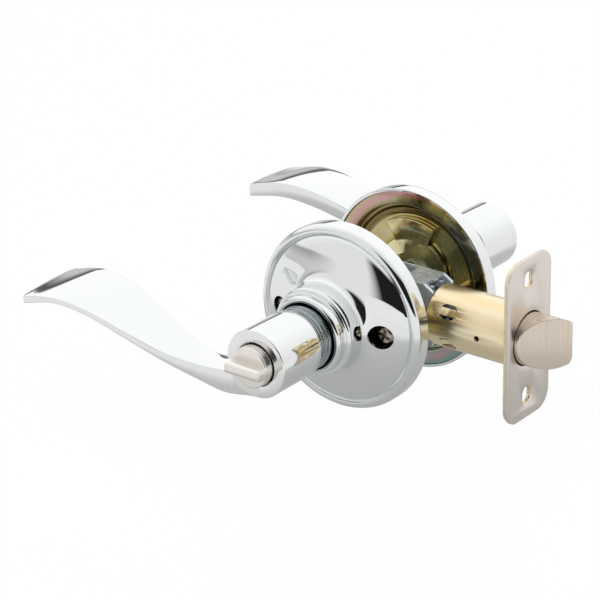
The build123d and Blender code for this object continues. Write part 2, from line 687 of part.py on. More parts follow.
def latch_spring():
    start = SEAT_X + SEAT_STEEL + LATCH_SPRING_WIRE / 2 + SEATED
    end = BOLT_BORE_END - LATCH_SPRING_WIRE / 2 - SEATED
    pitch = (end - start) / LATCH_SPRING_TURNS
    spring = coil(LATCH_SPRING_RADIUS, pitch, LATCH_SPRING_TURNS, 0, LATCH_SPRING_WIRE)
    return Pos(start, 0, 0) * Rot(0, 90, 0) * spring


parts = {
    "inside_rose": inside(inside_rose()),
    "inside_mounting_plate": inside(mounting_plate(SCREW_RADIUS + SEATED)),
    "inside_collar_bush": inside(collar_bush()),
    "inside_return_spring": inside(return_spring()),
    "inside_lever": inside(lever(BUTTON_HOLE_RADIUS)),
    "inside_spindle_sleeve": inside(spindle_sleeve()),
    "inside_spring_driver": inside(spring_driver()),
    "inside_retaining_ring": inside(retaining_ring()),
    "inside_lever_catch": inside(lever_catch()),
    "inside_catch_spring": inside(catch_spring()),
    "turn_button": inside(turn_button()),
    "privacy_bar": privacy_bar(),
    "emergency_release_plug": outside(release_plug()),
    "spindle": spindle(),
    "outside_rose": outside(rose()),
    "outside_mounting_plate": outside(mounting_plate(SCREW_RADIUS + SEATED)),
    "outside_collar_bush": outside(collar_bush()),
    "outside_return_spring": outside(return_spring()),
    "outside_lever": outside(lever(PLUG_RADIUS + RUNNING)),
    "outside_spindle_sleeve": outside(spindle_sleeve()),
    "outside_spring_driver": outside(spring_driver()),
    "outside_retaining_ring": outside(retaining_ring()),
    "outside_lever_catch": outside(lever_catch()),
    "outside_catch_spring": outside(catch_spring()),
    "mounting_screws": mounting_screws(),
    "screw_posts": screw_posts(),
    "latch_tube": latch_tube(),
    "latch_back_plate": latch_back_plate(),
    "latch_faceplate": latch_faceplate(),
    "latch_bolt": latch_bolt(),
    "bolt_tail": bolt_tail(),
    "tail_pins": tail_pins(),
    "latch_cam": latch_cam(),
    "latch_case_near": latch_case(-1),
    "latch_case_far": latch_case(1),
    "case_rivets": case_rivets(),
    "spring_seat": spring_seat(),
    "latch_spring": latch_spring(),
}

os.makedirs("parts", exist_ok=True)
for name, shape in parts.items():
    export_step(shape, f"parts/{name}.step")
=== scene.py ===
# Looks of the privacy door lever set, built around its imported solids.
# Metres. The room side with the turn button is -Y, the latch bolt points to +X and +Z is up.
import math

import bpy
from bpy.props import FloatProperty, FloatVectorProperty, PointerProperty, StringProperty
from mathutils import Matrix, Vector


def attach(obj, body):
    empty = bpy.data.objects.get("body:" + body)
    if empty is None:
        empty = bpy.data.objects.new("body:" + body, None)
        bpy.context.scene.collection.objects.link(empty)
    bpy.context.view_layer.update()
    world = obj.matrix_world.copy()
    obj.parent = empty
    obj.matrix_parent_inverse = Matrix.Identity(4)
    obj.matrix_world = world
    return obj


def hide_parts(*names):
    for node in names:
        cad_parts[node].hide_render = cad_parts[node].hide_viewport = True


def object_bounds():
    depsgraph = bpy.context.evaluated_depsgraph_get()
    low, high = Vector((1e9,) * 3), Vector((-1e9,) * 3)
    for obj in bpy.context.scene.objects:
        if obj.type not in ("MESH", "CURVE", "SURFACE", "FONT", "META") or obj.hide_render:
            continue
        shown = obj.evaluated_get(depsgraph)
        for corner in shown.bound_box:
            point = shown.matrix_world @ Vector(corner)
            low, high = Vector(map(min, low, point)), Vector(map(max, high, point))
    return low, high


bl_info = {
    "name": "Door lever set",
    "version": (1, 0, 0),
    "blender": (4, 5, 0),
    "location": "3D View > Sidebar > Door lever set",
    "description": "Models the finished surfaces of a privacy door lever set around its solids",
    "category": "Object",
}

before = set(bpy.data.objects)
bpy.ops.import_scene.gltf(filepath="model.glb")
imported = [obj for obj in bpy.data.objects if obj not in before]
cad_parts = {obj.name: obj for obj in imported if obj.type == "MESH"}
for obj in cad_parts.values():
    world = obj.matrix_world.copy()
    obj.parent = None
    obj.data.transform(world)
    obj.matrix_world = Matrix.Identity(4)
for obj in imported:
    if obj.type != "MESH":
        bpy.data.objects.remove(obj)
CAD_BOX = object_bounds()

MM = 0.001
SIDES = {"inside": -1, "outside": 1}
WELD = 0.002 * MM
ROUND_STEPS = 6
TURN_STEPS = 160

# Sizes shared with the solids, in millimetres, with depths measured from mid door
DOOR_FACE = 17.45
RIM_TOP = 23.85
NECK_TOP = 37.85
COLLAR_TOP = 41.45
ROSE_RADIUS = 32.6
NECK_RADIUS = 15.4
COLLAR_RADIUS = 13.7
ROSE_STEEL = 1.0
HUB_RADIUS = 11.7
HUB_START = 48.0
HUB_END = 68.0
SHANK_RADIUS = 11.1
SHANK_START = 31.0
SLEEVE_BORE = 8.33
BUTTON_WALL = 61.2
BUTTON_HOLE = 7.6
RELEASE_HOLE = 3.06
SCREW_X = 20.65
CATCH_ANGLE = 162.0
CATCH_DEPTH = 54.6
PLATE_BACK = 21.65
PLATE_FRONT = 23.15
DRIVER_BACK = 18.75
DRIVER_FRONT = 21.35
BACKSET = 60.3
FRONT_STEEL = 1.0
SLOT_Z = 20.65
SLOT_WIDTH = 4.4
SLOT_HEIGHT = 5.8
TUBE_RADIUS = 10.6
TUBE_WALL = 0.8
TUBE_START = 26.4
BOLT_RADIUS = 9.0
BOLT_THROW = 12.7

# Arm stations: distance from the spindle, then the outer edge (depth, top, thickness)
# and the door-side edge (depth, top, thickness).
ARM_STATIONS = (
    (-1.0, (HUB_END, -4.0, 7.6), (54.0, -4.0, 7.6)),
    (2.0, (HUB_END, -4.0, 7.85), (54.0, -4.0, 7.7)),
    (13.0, (HUB_END, -5.6, 8.0), (56.0, -5.0, 7.4)),
    (24.0, (HUB_END, -6.6, 5.6), (57.4, -6.4, 5.2)),
    (37.0, (70.6, -4.7, 3.3), (56.2, -3.3, 4.7)),
    (51.0, (73.3, 0.0, 2.5), (53.1, 1.6, 5.6)),
    (66.0, (75.0, 4.4, 2.0), (50.7, 6.3, 6.0)),
    (80.0, (75.5, 5.5, 1.9), (49.3, 7.3, 5.6)),
    (95.0, (74.9, 2.6, 2.9), (48.9, 3.7, 4.8)),
)


class FinishSettings(bpy.types.PropertyGroup):
    """Colours of the plated finishes, as sRGB hex"""
    chrome: StringProperty(name="Chrome", description="Colour of the chrome plate", default="#E6E8E8")
    chromate: StringProperty(name="Chromate", description="Colour of the chromate film", default="#CDC08C")
    gold_zinc: StringProperty(name="Tube zinc", description="Colour of the tube's plate", default="#F1DFB8")
    nickel: StringProperty(name="Nickel", description="Colour of the satin nickel", default="#DDD5CD")
    bolt: StringProperty(name="Bolt nickel", description="Colour of the bolt", default="#DBCEBF")
    button: StringProperty(name="Button nickel", description="Colour of the button", default="#ECE7E0")
    bright_zinc: StringProperty(name="Case zinc", description="Colour of the case's plate", default="#D6DEE3")


class LeverSettings(bpy.types.PropertyGroup):
    """Sizes of the lever's arm that a maker would change"""
    edge_round: FloatProperty(
        name="Edge round", description="Radius on the long edges of the arm", default=0.4 * MM, unit="LENGTH"
    )
    crown: FloatProperty(
        name="Crown", description="Rise of the arm's top face", default=0.5 * MM, unit="LENGTH"
    )


class StageSettings(bpy.types.PropertyGroup):
    """Where the camera stands and looks"""
    azimuth: FloatProperty(
        name="Azimuth", description="Camera's turn about Z", default=math.radians(37.722), subtype="ANGLE"
    )
    elevation: FloatProperty(
        name="Elevation", description="Camera's height angle", default=math.radians(23.773), subtype="ANGLE"
    )
    roll: FloatProperty(
        name="Roll", description="Camera's roll", default=math.radians(-0.958), subtype="ANGLE"
    )
    distance: FloatProperty(
        name="Distance", description="Camera to target", default=909.63 * MM, unit="LENGTH"
    )
    lens: FloatProperty(name="Lens", description="Focal length in millimetres", default=156.22)
    target: FloatVectorProperty(
        name="Target",
        description="Point in the middle of the picture",
        default=(-34.852 * MM, 1.0 * MM, -11.033 * MM),
        subtype="TRANSLATION",
    )


class DoorLeverSettings(bpy.types.PropertyGroup):
    """All settings of the door lever set"""
    finish: PointerProperty(type=FinishSettings)
    lever: PointerProperty(type=LeverSettings)
    stage: PointerProperty(type=StageSettings)


def settings():
    return bpy.context.scene.door_lever


# Colours and nodes
def hex_colour(text):
    channels = [int(text[place:place + 2], 16) / 255 for place in (1, 3, 5)]
    linear = [c / 12.92 if c <= 0.04045 else ((c + 0.055) / 1.055) ** 2.4 for c in channels]
    return (*linear, 1.0)


def add_node(tree, kind, values=None, links=None):
    node = tree.nodes.new(kind)
    for key, value in (values or {}).items():
        if isinstance(key, int) or key in node.inputs:
            node.inputs[key].default_value = value
        else:
            setattr(node, key, value)
    for socket, source in (links or {}).items():
        tree.links.new(source, node.inputs[socket])
    return node


def new_finish(name, colour, metallic, roughness):
    material = bpy.data.materials.new(name)
    material.use_nodes = True
    tree = material.node_tree
    shader = tree.nodes["Principled BSDF"]
    shader.inputs["Base Color"].default_value = hex_colour(colour)
    shader.inputs["Metallic"].default_value = metallic
    shader.inputs["Roughness"].default_value = roughness
    coords = add_node(tree, "ShaderNodeTexCoord")
    return material, tree, shader, coords.outputs["Object"]


def set_ramp(ramp, stops):
    elements = ramp.color_ramp.elements
    while len(elements) < len(stops):
        elements.new(0.5)
    for element, (place, colour) in zip(elements, stops):
        element.position = place
        element.color = colour


def grey(value):
    return (value, value, value, 1.0)


def grey_stops(stops):
    return [(place, grey(value)) for place, value in stops]


# Bright chrome on polished zinc: a near mirror with a faint polishing haze and slow waviness, with painted
# shade making it darker and cooler on the turned shank between the collar and the hub.
def polished_chrome():
    material, tree, shader, place = new_finish("polished_chrome", settings().finish.chrome, 1.0, 0.04)
    axes = add_node(tree, "ShaderNodeSeparateXYZ", links={0: place})
    depth = add_node(tree, "ShaderNodeMath", {"operation": "ABSOLUTE"}, {0: axes.outputs["Y"]})
    middle, half = (COLLAR_TOP + HUB_START) / 2, (HUB_START - COLLAR_TOP) / 2
    # Painted shade: the recessed shank between the collar and the hub gets a darker, cooler chrome colour.
    shank_shade_mask = add_node(
        tree, "ShaderNodeMath", {"operation": "COMPARE", 1: middle * MM, 2: half * MM}, {0: depth.outputs[0]}
    )
    shaded_tone = add_node(
        tree, "ShaderNodeMix",
        {"data_type": "RGBA", 6: hex_colour(settings().finish.chrome), 7: hex_colour("#A3ABAE")},
        {0: shank_shade_mask.outputs[0]},
    )
    tree.links.new(shaded_tone.outputs[2], shader.inputs["Base Color"])
    haze = add_node(tree, "ShaderNodeTexNoise", {"Scale": 1 / (9 * MM), "Detail": 3.0}, {"Vector": place})
    ramp = add_node(tree, "ShaderNodeValToRGB", links={"Fac": haze.outputs["Fac"]})
    set_ramp(ramp, ((0.3, grey(0.025)), (0.75, grey(0.06))))
    tree.links.new(ramp.outputs["Color"], shader.inputs["Roughness"])
    wave = add_node(tree, "ShaderNodeTexNoise", {"Scale": 1 / (16 * MM), "Detail": 0.0}, {"Vector": place})
    bump = add_node(
        tree, "ShaderNodeBump", {"Strength": 0.06, "Distance": 0.2 * MM}, {"Height": wave.outputs["Fac"]}
    )
    tree.links.new(bump.outputs["Normal"], shader.inputs["Normal"])
    return material


# Yellow chromate over zinc: olive gold where the film is even, darkened to brown by painted shade in the ring
# beyond the spring driver, and drifting through rose and green towards the rim, where the film dries thicker.
SHADED_RING = (21.7, 23.5)
RIM_FADE = (24.5, 28.5)
RIM_FILM = (27.0, 31.5)


def yellow_chromate():
    material, tree, shader, place = new_finish("yellow_chromate_zinc", settings().finish.chromate, 1.0, 0.26)
    axes = add_node(tree, "ShaderNodeSeparateXYZ", links={0: place})
    flat = add_node(tree, "ShaderNodeCombineXYZ", links={"X": axes.outputs["X"], "Z": axes.outputs["Z"]})
    radius = add_node(tree, "ShaderNodeVectorMath", {"operation": "LENGTH"}, {0: flat.outputs[0]})
    rim = add_node(
        tree, "ShaderNodeMapRange", {"From Min": RIM_FADE[0] * MM, "From Max": RIM_FADE[1] * MM},
        {"Value": radius.outputs["Value"]},
    )
    around = add_node(
        tree, "ShaderNodeMath", {"operation": "ARCTAN2"}, {0: axes.outputs["Z"], 1: axes.outputs["X"]}
    )
    turn = add_node(
        tree, "ShaderNodeMapRange", {"From Min": -math.pi, "From Max": math.pi}, {"Value": around.outputs[0]}
    )
    drift = add_node(
        tree, "ShaderNodeTexNoise", {"Scale": 1 / (14 * MM), "Detail": 2.0, "Distortion": 0.4},
        {"Vector": place},
    )
    shift = add_node(
        tree, "ShaderNodeMapRange", {"To Min": -0.09, "To Max": 0.09}, {"Value": drift.outputs["Fac"]}
    )
    thick = add_node(
        tree, "ShaderNodeMapRange",
        {"From Min": RIM_FILM[0] * MM, "From Max": RIM_FILM[1] * MM, "To Min": -0.12, "To Max": 0.12},
        {"Value": radius.outputs["Value"]},
    )
    lean = add_node(tree, "ShaderNodeMath", {"operation": "ADD"}, {0: turn.outputs[0], 1: shift.outputs[0]})
    film = add_node(tree, "ShaderNodeMath", {"operation": "ADD"}, {0: lean.outputs[0], 1: thick.outputs[0]})
    ring = add_node(tree, "ShaderNodeValToRGB", links={"Fac": film.outputs[0]})
    ring_stops = (
        (0.0, "#B3A27A"), (0.2, "#9FB7AE"), (0.28, "#C3A2A8"), (0.45, "#7FA79C"), (0.58, "#B08E86"),
        (0.68, "#9DAA84"), (0.76, "#B7A884"), (0.84, "#C79A9E"), (0.92, "#BCA78E"),
    )
    set_ramp(ring, [(stop, hex_colour(colour)) for stop, colour in ring_stops])
    even = add_node(tree, "ShaderNodeValToRGB", links={"Fac": drift.outputs["Fac"]})
    even_stops = (
        (0.3, "#B3A672"), (0.5, settings().finish.chromate), (0.62, "#DCD2A6"), (0.75, "#BFB387"),
    )
    set_ramp(even, [(stop, hex_colour(colour)) for stop, colour in even_stops])
    # Painted shade: the ring beyond the spring driver is mixed towards a dark brown.
    outer = add_node(
        tree, "ShaderNodeMapRange", {"From Min": SHADED_RING[0] * MM, "From Max": SHADED_RING[1] * MM},
        {"Value": radius.outputs["Value"]},
    )
    ring_shaded = add_node(
        tree, "ShaderNodeMix", {"data_type": "RGBA", 7: hex_colour("#75673F")},
        {0: outer.outputs[0], 6: even.outputs[0]},
    )
    colour = add_node(
        tree, "ShaderNodeMix", {"data_type": "RGBA"},
        {0: rim.outputs[0], 6: ring_shaded.outputs[2], 7: ring.outputs[0]},
    )
    tree.links.new(colour.outputs[2], shader.inputs["Base Color"])
    grain = add_node(tree, "ShaderNodeTexNoise", {"Scale": 1 / (1.6 * MM), "Detail": 4.0}, {"Vector": place})
    rough = add_node(tree, "ShaderNodeValToRGB", links={"Fac": grain.outputs["Fac"]})
    set_ramp(rough, ((0.3, grey(0.09)), (0.7, grey(0.19))))
    tree.links.new(rough.outputs["Color"], shader.inputs["Roughness"])
    bump = add_node(
        tree, "ShaderNodeBump", {"Strength": 0.08, "Distance": 0.05 * MM}, {"Height": grain.outputs["Fac"]}
    )
    tree.links.new(bump.outputs["Normal"], shader.inputs["Normal"])
    return material


# Zinc with a plain gold passivate on drawn tube: warm, with faint streaks along the tube.
def gold_zinc():
    material, tree, shader, place = new_finish("gold_zinc_tube", settings().finish.gold_zinc, 1.0, 0.3)
    stretch = add_node(tree, "ShaderNodeMapping", {"Scale": (0.12, 1.0, 1.0)}, {"Vector": place})
    streak = add_node(
        tree, "ShaderNodeTexNoise", {"Scale": 1 / (4 * MM), "Detail": 1.0},
        {"Vector": stretch.outputs["Vector"]},
    )
    ramp = add_node(tree, "ShaderNodeValToRGB", links={"Fac": streak.outputs["Fac"]})
    stops = ((0.3, "#EDD8AC"), (0.5, settings().finish.gold_zinc), (0.7, "#F4E6C6"))
    set_ramp(ramp, [(stop, hex_colour(colour)) for stop, colour in stops])
    tree.links.new(ramp.outputs["Color"], shader.inputs["Base Color"])
    rough = add_node(tree, "ShaderNodeValToRGB", links={"Fac": streak.outputs["Fac"]})
    set_ramp(rough, ((0.3, grey(0.27)), (0.7, grey(0.31))))
    tree.links.new(rough.outputs["Color"], shader.inputs["Roughness"])
    return material


# Satin nickel on steel: fine brushing lines, along Z on the latch and along the rib on the button,
# drawn coarser than real so that they show.
def satin_nickel(name, colour, stretch):
    material, tree, shader, place = new_finish(name, colour, 1.0, 0.34)
    squeeze = add_node(tree, "ShaderNodeMapping", {"Scale": stretch}, {"Vector": place})
    line = add_node(
        tree, "ShaderNodeTexNoise", {"Scale": 1 / (0.9 * MM), "Detail": 2.0},
        {"Vector": squeeze.outputs["Vector"]},
    )
    rough = add_node(tree, "ShaderNodeValToRGB", links={"Fac": line.outputs["Fac"]})
    set_ramp(rough, ((0.3, grey(0.22)), (0.7, grey(0.32))))
    tree.links.new(rough.outputs["Color"], shader.inputs["Roughness"])
    bump = add_node(
        tree, "ShaderNodeBump", {"Strength": 0.04, "Distance": 0.03 * MM}, {"Height": line.outputs["Fac"]}
    )
    tree.links.new(bump.outputs["Normal"], shader.inputs["Normal"])
    return material


# Bright zinc on pressed steel: bluish, with faint crystal spangle.
def bright_zinc():
    material, tree, shader, place = new_finish("bright_zinc", settings().finish.bright_zinc, 0.7, 0.3)
    spangle = add_node(tree, "ShaderNodeTexVoronoi", {"Scale": 1 / (2.4 * MM)}, {"Vector": place})
    ramp = add_node(tree, "ShaderNodeValToRGB", links={"Fac": spangle.outputs["Distance"]})
    stops = ((0.1, settings().finish.bright_zinc), (0.8, "#BAC5CC"))
    set_ramp(ramp, [(stop, hex_colour(colour)) for stop, colour in stops])
    tree.links.new(ramp.outputs["Color"], shader.inputs["Base Color"])
    grain = add_node(tree, "ShaderNodeTexNoise", {"Scale": 1 / (1.1 * MM), "Detail": 3.0}, {"Vector": place})
    rough = add_node(tree, "ShaderNodeValToRGB", links={"Fac": grain.outputs["Fac"]})
    set_ramp(rough, ((0.3, grey(0.2)), (0.7, grey(0.36))))
    tree.links.new(rough.outputs["Color"], shader.inputs["Roughness"])
    return material


# Oily steel, mottled between a dark and a light tone in patches of a millimetre or two.
def mottled_steel(name, tones, roughness, detail):
    dark, middle, light = tones
    material, tree, shader, place = new_finish(name, middle, 1.0, roughness)
    mottle = add_node(
        tree, "ShaderNodeTexNoise", {"Scale": 1 / (1.5 * MM), "Detail": detail}, {"Vector": place}
    )
    ramp = add_node(tree, "ShaderNodeValToRGB", links={"Fac": mottle.outputs["Fac"]})
    set_ramp(ramp, ((0.3, hex_colour(dark)), (0.7, hex_colour(light))))
    tree.links.new(ramp.outputs["Color"], shader.inputs["Base Color"])
    return material


# Zinc on cold-headed screws: duller and warmer than the case, mottled by the oil left on them.
def screw_zinc():
    return mottled_steel("dull_screw_zinc", ("#8A8074", "#A39A8E", "#BDB4A6"), 0.24, 2.0)


# Oil-blackened spring wire: dark, slightly mottled steel.
def spring_steel():
    return mottled_steel("oiled_spring_steel", ("#3C3E40", "#55585A", "#6C6F72"), 0.38, 4.0)


# Moulded black nylon: matt with a fine spark-eroded texture.
def black_nylon():
    material, tree, shader, place = new_finish("moulded_black_nylon", "#1B1B1C", 0.0, 0.5)
    grain = add_node(tree, "ShaderNodeTexNoise", {"Scale": 1 / (0.4 * MM), "Detail": 2.0}, {"Vector": place})
    bump = add_node(
        tree, "ShaderNodeBump", {"Strength": 0.2, "Distance": 0.03 * MM}, {"Height": grain.outputs["Fac"]}
    )
    tree.links.new(bump.outputs["Normal"], shader.inputs["Normal"])
    return material


FINISHES = {
    "chrome": polished_chrome,
    "chromate": yellow_chromate,
    "tube": gold_zinc,
    "nickel": lambda: satin_nickel("satin_nickel", settings().finish.nickel, (1.0, 1.0, 0.06)),
    "bolt": lambda: satin_nickel("bolt_nickel", settings().finish.bolt, (1.0, 1.0, 0.06)),
    "button": lambda: satin_nickel("champagne_nickel", settings().finish.button, (0.2, 1.0, 1.0)),
    "zinc": bright_zinc,
    "screw": screw_zinc,
    "spring": spring_steel,
    "nylon": black_nylon,
}
made_finishes = {}


def finish(name):
    if name not in made_finishes:
        made_finishes[name] = FINISHES[name]()
    return made_finishes[name]


# Modelling helpers
def start_piece(name, add, **values):
    bpy.ops.object.select_all(action="DESELECT")
    add(**values)
    piece = bpy.context.active_object
    piece.name = name
    piece.data.name = name
    bpy.ops.object.transform_apply(location=True, rotation=True, scale=True)
    return piece


def activate(piece):
    bpy.ops.object.select_all(action="DESELECT")
    piece.select_set(True)
    bpy.context.view_layer.objects.active = piece


def in_edit_mode(piece, *steps):
    activate(piece)
    bpy.ops.object.mode_set(mode="EDIT")
    bpy.ops.mesh.select_all(action="SELECT")
    for step in steps:
        step()
    bpy.ops.object.mode_set(mode="OBJECT")


def clean(piece):
    in_edit_mode(
        piece,
        lambda: bpy.ops.mesh.remove_doubles(threshold=WELD),
        lambda: bpy.ops.mesh.normals_make_consistent(inside=False),
    )


def apply_modifier(piece, kind, **values):
    activate(piece)
    modifier = piece.modifiers.new(kind.title(), kind)
    for key, value in values.items():
        setattr(modifier, key, value)
    bpy.ops.object.modifier_apply(modifier=modifier.name)


def combine(piece, tool, operation):
    apply_modifier(piece, "BOOLEAN", object=tool, operation=operation, solver="EXACT")
    bpy.data.objects.remove(tool, do_unlink=True)


def soften(piece, width, segments=2):
    apply_modifier(
        piece, "BEVEL", width=width * MM, segments=segments, limit_method="ANGLE",
        angle_limit=math.radians(35),
    )


def dress(piece, material, body, slot, *nodes, angle=32):
    activate(piece)
    bpy.ops.object.shade_smooth_by_angle(angle=math.radians(angle))
    piece.data.materials.clear()
    piece.data.materials.append(finish(material))
    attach(piece, body)
    if nodes:
        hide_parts(*nodes)


# A closed outline with its corners rounded: each corner is (x, y) or (x, y, radius).
def rounded(corners, steps=ROUND_STEPS):
    points = []
    count = len(corners)
    for number, corner in enumerate(corners):
        here = Vector(corner[:2])
        radius = corner[2] if len(corner) > 2 else 0.0
        if radius == 0.0:
            points.append(here)
            continue
        back = (Vector(corners[number - 1][:2]) - here).normalized()
        ahead = (Vector(corners[(number + 1) % count][:2]) - here).normalized()
        half = back.angle(ahead) / 2
        reach = radius / math.tan(half)
        centre = here + (back + ahead).normalized() * radius / math.sin(half)
        first = here + back * reach - centre
        last = here + ahead * reach - centre
        for step in range(steps + 1):
            points.append(centre + first.lerp(last, step / steps).normalized() * radius)
    return points


# The points between the ends of a Bezier with four control points.
def bend(points, steps):
    curve = []
    for step in range(1, steps):
        t = step / steps
        shares = ((1 - t) ** 3, 3 * t * (1 - t) ** 2, 3 * t * t * (1 - t), t ** 3)
        curve.append(tuple(
            sum(share * point[axis] for share, point in zip(shares, points)) for axis in (0, 1)
        ))
    return curve


# A turned piece: the outline (radius, depth) is spun about the spindle axis.
def turned(name, corners, side, steps=TURN_STEPS):
    points = rounded(corners)
    piece = start_piece(name, bpy.ops.mesh.primitive_circle_add, vertices=len(points), radius=1.0)
    for vertex, point in zip(piece.data.vertices, points):
        vertex.co = Vector((point.x, side * point.y, 0)) * MM
    in_edit_mode(
        piece,
        lambda: bpy.ops.mesh.spin(steps=steps, angle=2 * math.pi, center=(0, 0, 0), axis=(0, 1, 0)),
    )
    clean(piece)
    return piece


def rod(name, radius, start, end, steps=64):
    axis = Vector(end) - Vector(start)
    middle = (Vector(end) + Vector(start)) / 2
    return start_piece(
        name,
        bpy.ops.mesh.primitive_cylinder_add,
        vertices=steps,
        radius=radius * MM,
        depth=axis.length * MM,
        location=middle * MM,
        rotation=Vector((0, 0, 1)).rotation_difference(axis).to_euler(),
    )


def brick(name, low, high, place):
    size = Vector(high) - Vector(low)
    middle = (Vector(high) + Vector(low)) / 2
    piece = start_piece(name, bpy.ops.mesh.primitive_cube_add, size=1.0)
    piece.data.transform(Matrix.Translation(middle * MM) @ Matrix.Diagonal((*(size * MM), 1.0)))
    piece.data.transform(place)
    return piece


# A flat outline raised from low to high along its own Z, then moved to its place.
def prism(name, points, low, high, place):
    piece = start_piece(
        name, bpy.ops.mesh.primitive_circle_add, vertices=len(points), radius=1.0, fill_type="NGON"
    )
    for vertex, point in zip(piece.data.vertices, points):
        vertex.co = Vector((point[0], point[1], low)) * MM
    in_edit_mode(
        piece,
        lambda: bpy.ops.mesh.extrude_region_move(
            TRANSFORM_OT_translate={"value": (0, 0, (high - low) * MM)}
        ),
        lambda: bpy.ops.mesh.select_all(action="SELECT"),
        lambda: bpy.ops.mesh.normals_make_consistent(inside=False),
    )
    piece.data.transform(place)
    return piece


def box_outline(width, height, corner, steps=10):
    x, y = width / 2, height / 2
    return rounded([(-x, -y, corner), (x, -y, corner), (x, y, corner), (-x, y, corner)], steps)


# Roses: thin formed covers, each with a rolled rim, a groove, a dome and a stepped neck
FLARE_START = (19.0, 28.45)
FLARE_END = (NECK_RADIUS, 32.2)
ROSE_INNER = ROSE_RADIUS - ROSE_STEEL
NECK_INNER = NECK_RADIUS - ROSE_STEEL
COLLAR_BORE = 11.8
ROSE_OUTLINE = (
    (ROSE_RADIUS, DOOR_FACE, 0.3), (ROSE_RADIUS, RIM_TOP, 2.3), (30.2, RIM_TOP, 0.4), (29.8, 22.5, 0.2),
    (29.4, 23.0, 0.25),
    *bend(((29.2, 23.5), (27.0, 25.9), (22.0, 27.5), FLARE_START), 20),
    FLARE_START,
    *bend((FLARE_START, (17.0, 29.08), (NECK_RADIUS, 29.9), FLARE_END), 14),
    FLARE_END, (NECK_RADIUS, NECK_TOP, 1.0), (COLLAR_RADIUS, NECK_TOP, 0.4),
    (COLLAR_RADIUS, COLLAR_TOP, 1.2), (COLLAR_BORE, COLLAR_TOP, 0.3), (COLLAR_BORE, 36.9),
    (NECK_INNER, 36.8), (NECK_INNER, 31.4, 1.0), (17.6, 28.0, 4.0), (24.0, 25.6, 10.0), (29.0, 22.2, 1.0),
    (ROSE_INNER, 22.2, 1.2), (ROSE_INNER, DOOR_FACE),
)
SCREW_WINDOW = 4.2


def make_roses():
    for name, side in SIDES.items():
        rose = turned(f"{name}_rose_cover", ROSE_OUTLINE, side)
        if name == "inside":
            for place in (-SCREW_X, SCREW_X):
                tool = rod("window", SCREW_WINDOW, (place, -NECK_TOP, 0), (place, -DOOR_FACE, 0), 48)
                combine(rose, tool, "DIFFERENCE")
        dress(rose, "chrome", "door_fixed", "polished_chrome", f"{name}_rose", angle=28)


# Levers: a wave-shaped arm run into a round hub with a grooved shank
# The arm's edges at a distance from the spindle, on a smooth curve through the stations.
def arm_values(distance):
    rows = [(row[0], *row[1], *row[2]) for row in ARM_STATIONS]
    last = len(rows) - 1
    number = 0
    while number < last - 1 and distance > rows[number + 1][0]:
        number += 1
    low, high = rows[number], rows[number + 1]
    before = rows[max(number - 1, 0)]
    after = rows[min(number + 2, last)]
    span = high[0] - low[0]
    t = (distance - low[0]) / span
    values = []
    for a, b, c, d in zip(before[1:], low[1:], high[1:], after[1:]):
        start = (c - a) / (high[0] - before[0]) * span
        end = (d - b) / (after[0] - low[0]) * span
        values.append(
            b * (2 * t**3 - 3 * t**2 + 1) + start * (t**3 - 2 * t**2 + t)
            + c * (3 * t**2 - 2 * t**3) + end * (t**3 - t**2)
        )
    return values


TOP_SPANS = 10
BOTTOM_SPANS = 6
ARM_SPANS = 70
TIP_STEPS = 3


# The arm's outline across its length, made smaller by shrink where the tip is rounded off.
def arm_section(distance, shrink):
    outer, outer_top, outer_thick, door, door_top, door_thick = arm_values(distance)
    crown = settings().lever.crown / MM
    edge = settings().lever.edge_round / MM
    outer -= shrink
    door += shrink
    outer_top -= shrink
    door_top -= shrink
    corners = []
    for step in range(TOP_SPANS + 1):
        share = step / TOP_SPANS
        top = outer_top + (door_top - outer_top) * share + crown * 4 * share * (1 - share)
        radius = edge if step in (0, TOP_SPANS) else 0.0
        corners.append((outer + (door - outer) * share, top, radius))
    outer_low = outer_top - outer_thick + 2 * shrink
    door_low = door_top - door_thick + 2 * shrink
    for step in range(BOTTOM_SPANS + 1):
        share = step / BOTTOM_SPANS
        low = door_low + (outer_low - door_low) * share
        radius = edge if step in (0, BOTTOM_SPANS) else 0.0
        corners.append((door + (outer - door) * share, low, radius))
    return rounded(corners, 4)


def make_arm(name, side):
    first, last = ARM_STATIONS[0][0], ARM_STATIONS[-1][0]
    edge = settings().lever.edge_round / MM
    places = [
        (first + (last - edge - first) * number / ARM_SPANS, 0.0) for number in range(ARM_SPANS + 1)
    ]
    for step in range(1, TIP_STEPS + 1):
        turn = math.radians(90 * step / TIP_STEPS)
        places.append((last - edge + edge * math.sin(turn), edge * (1 - math.cos(turn)) * 0.8))
    sections = [arm_section(*place) for place in places]
    rows, columns = len(sections), len(sections[0])
    piece = start_piece(
        name, bpy.ops.mesh.primitive_grid_add, x_subdivisions=rows - 1, y_subdivisions=columns, size=1.0
    )
    for vertex in piece.data.vertices:
        row = round((vertex.co.x + 0.5) * (rows - 1))
        column = round((vertex.co.y + 0.5) * columns) % columns
        point = sections[row][column]
        vertex.co = Vector((-places[row][0], side * point.x, point.y)) * MM
    in_edit_mode(
        piece,
        lambda: bpy.ops.mesh.remove_doubles(threshold=WELD),
        lambda: bpy.ops.mesh.select_all(action="DESELECT"),
        lambda: bpy.ops.mesh.select_non_manifold(),
        lambda: bpy.ops.mesh.edge_face_add(),
        lambda: bpy.ops.mesh.select_all(action="SELECT"),
        lambda: bpy.ops.mesh.normals_make_consistent(inside=False),
    )
    return piece


GROOVE_STARTS = (42.9, 45.4)
GROOVE_RADIUS = 10.55
GROOVE_FLOOR = 1.0
GROOVE_SLOPE = 0.2
GROOVE_ROUND = 0.15


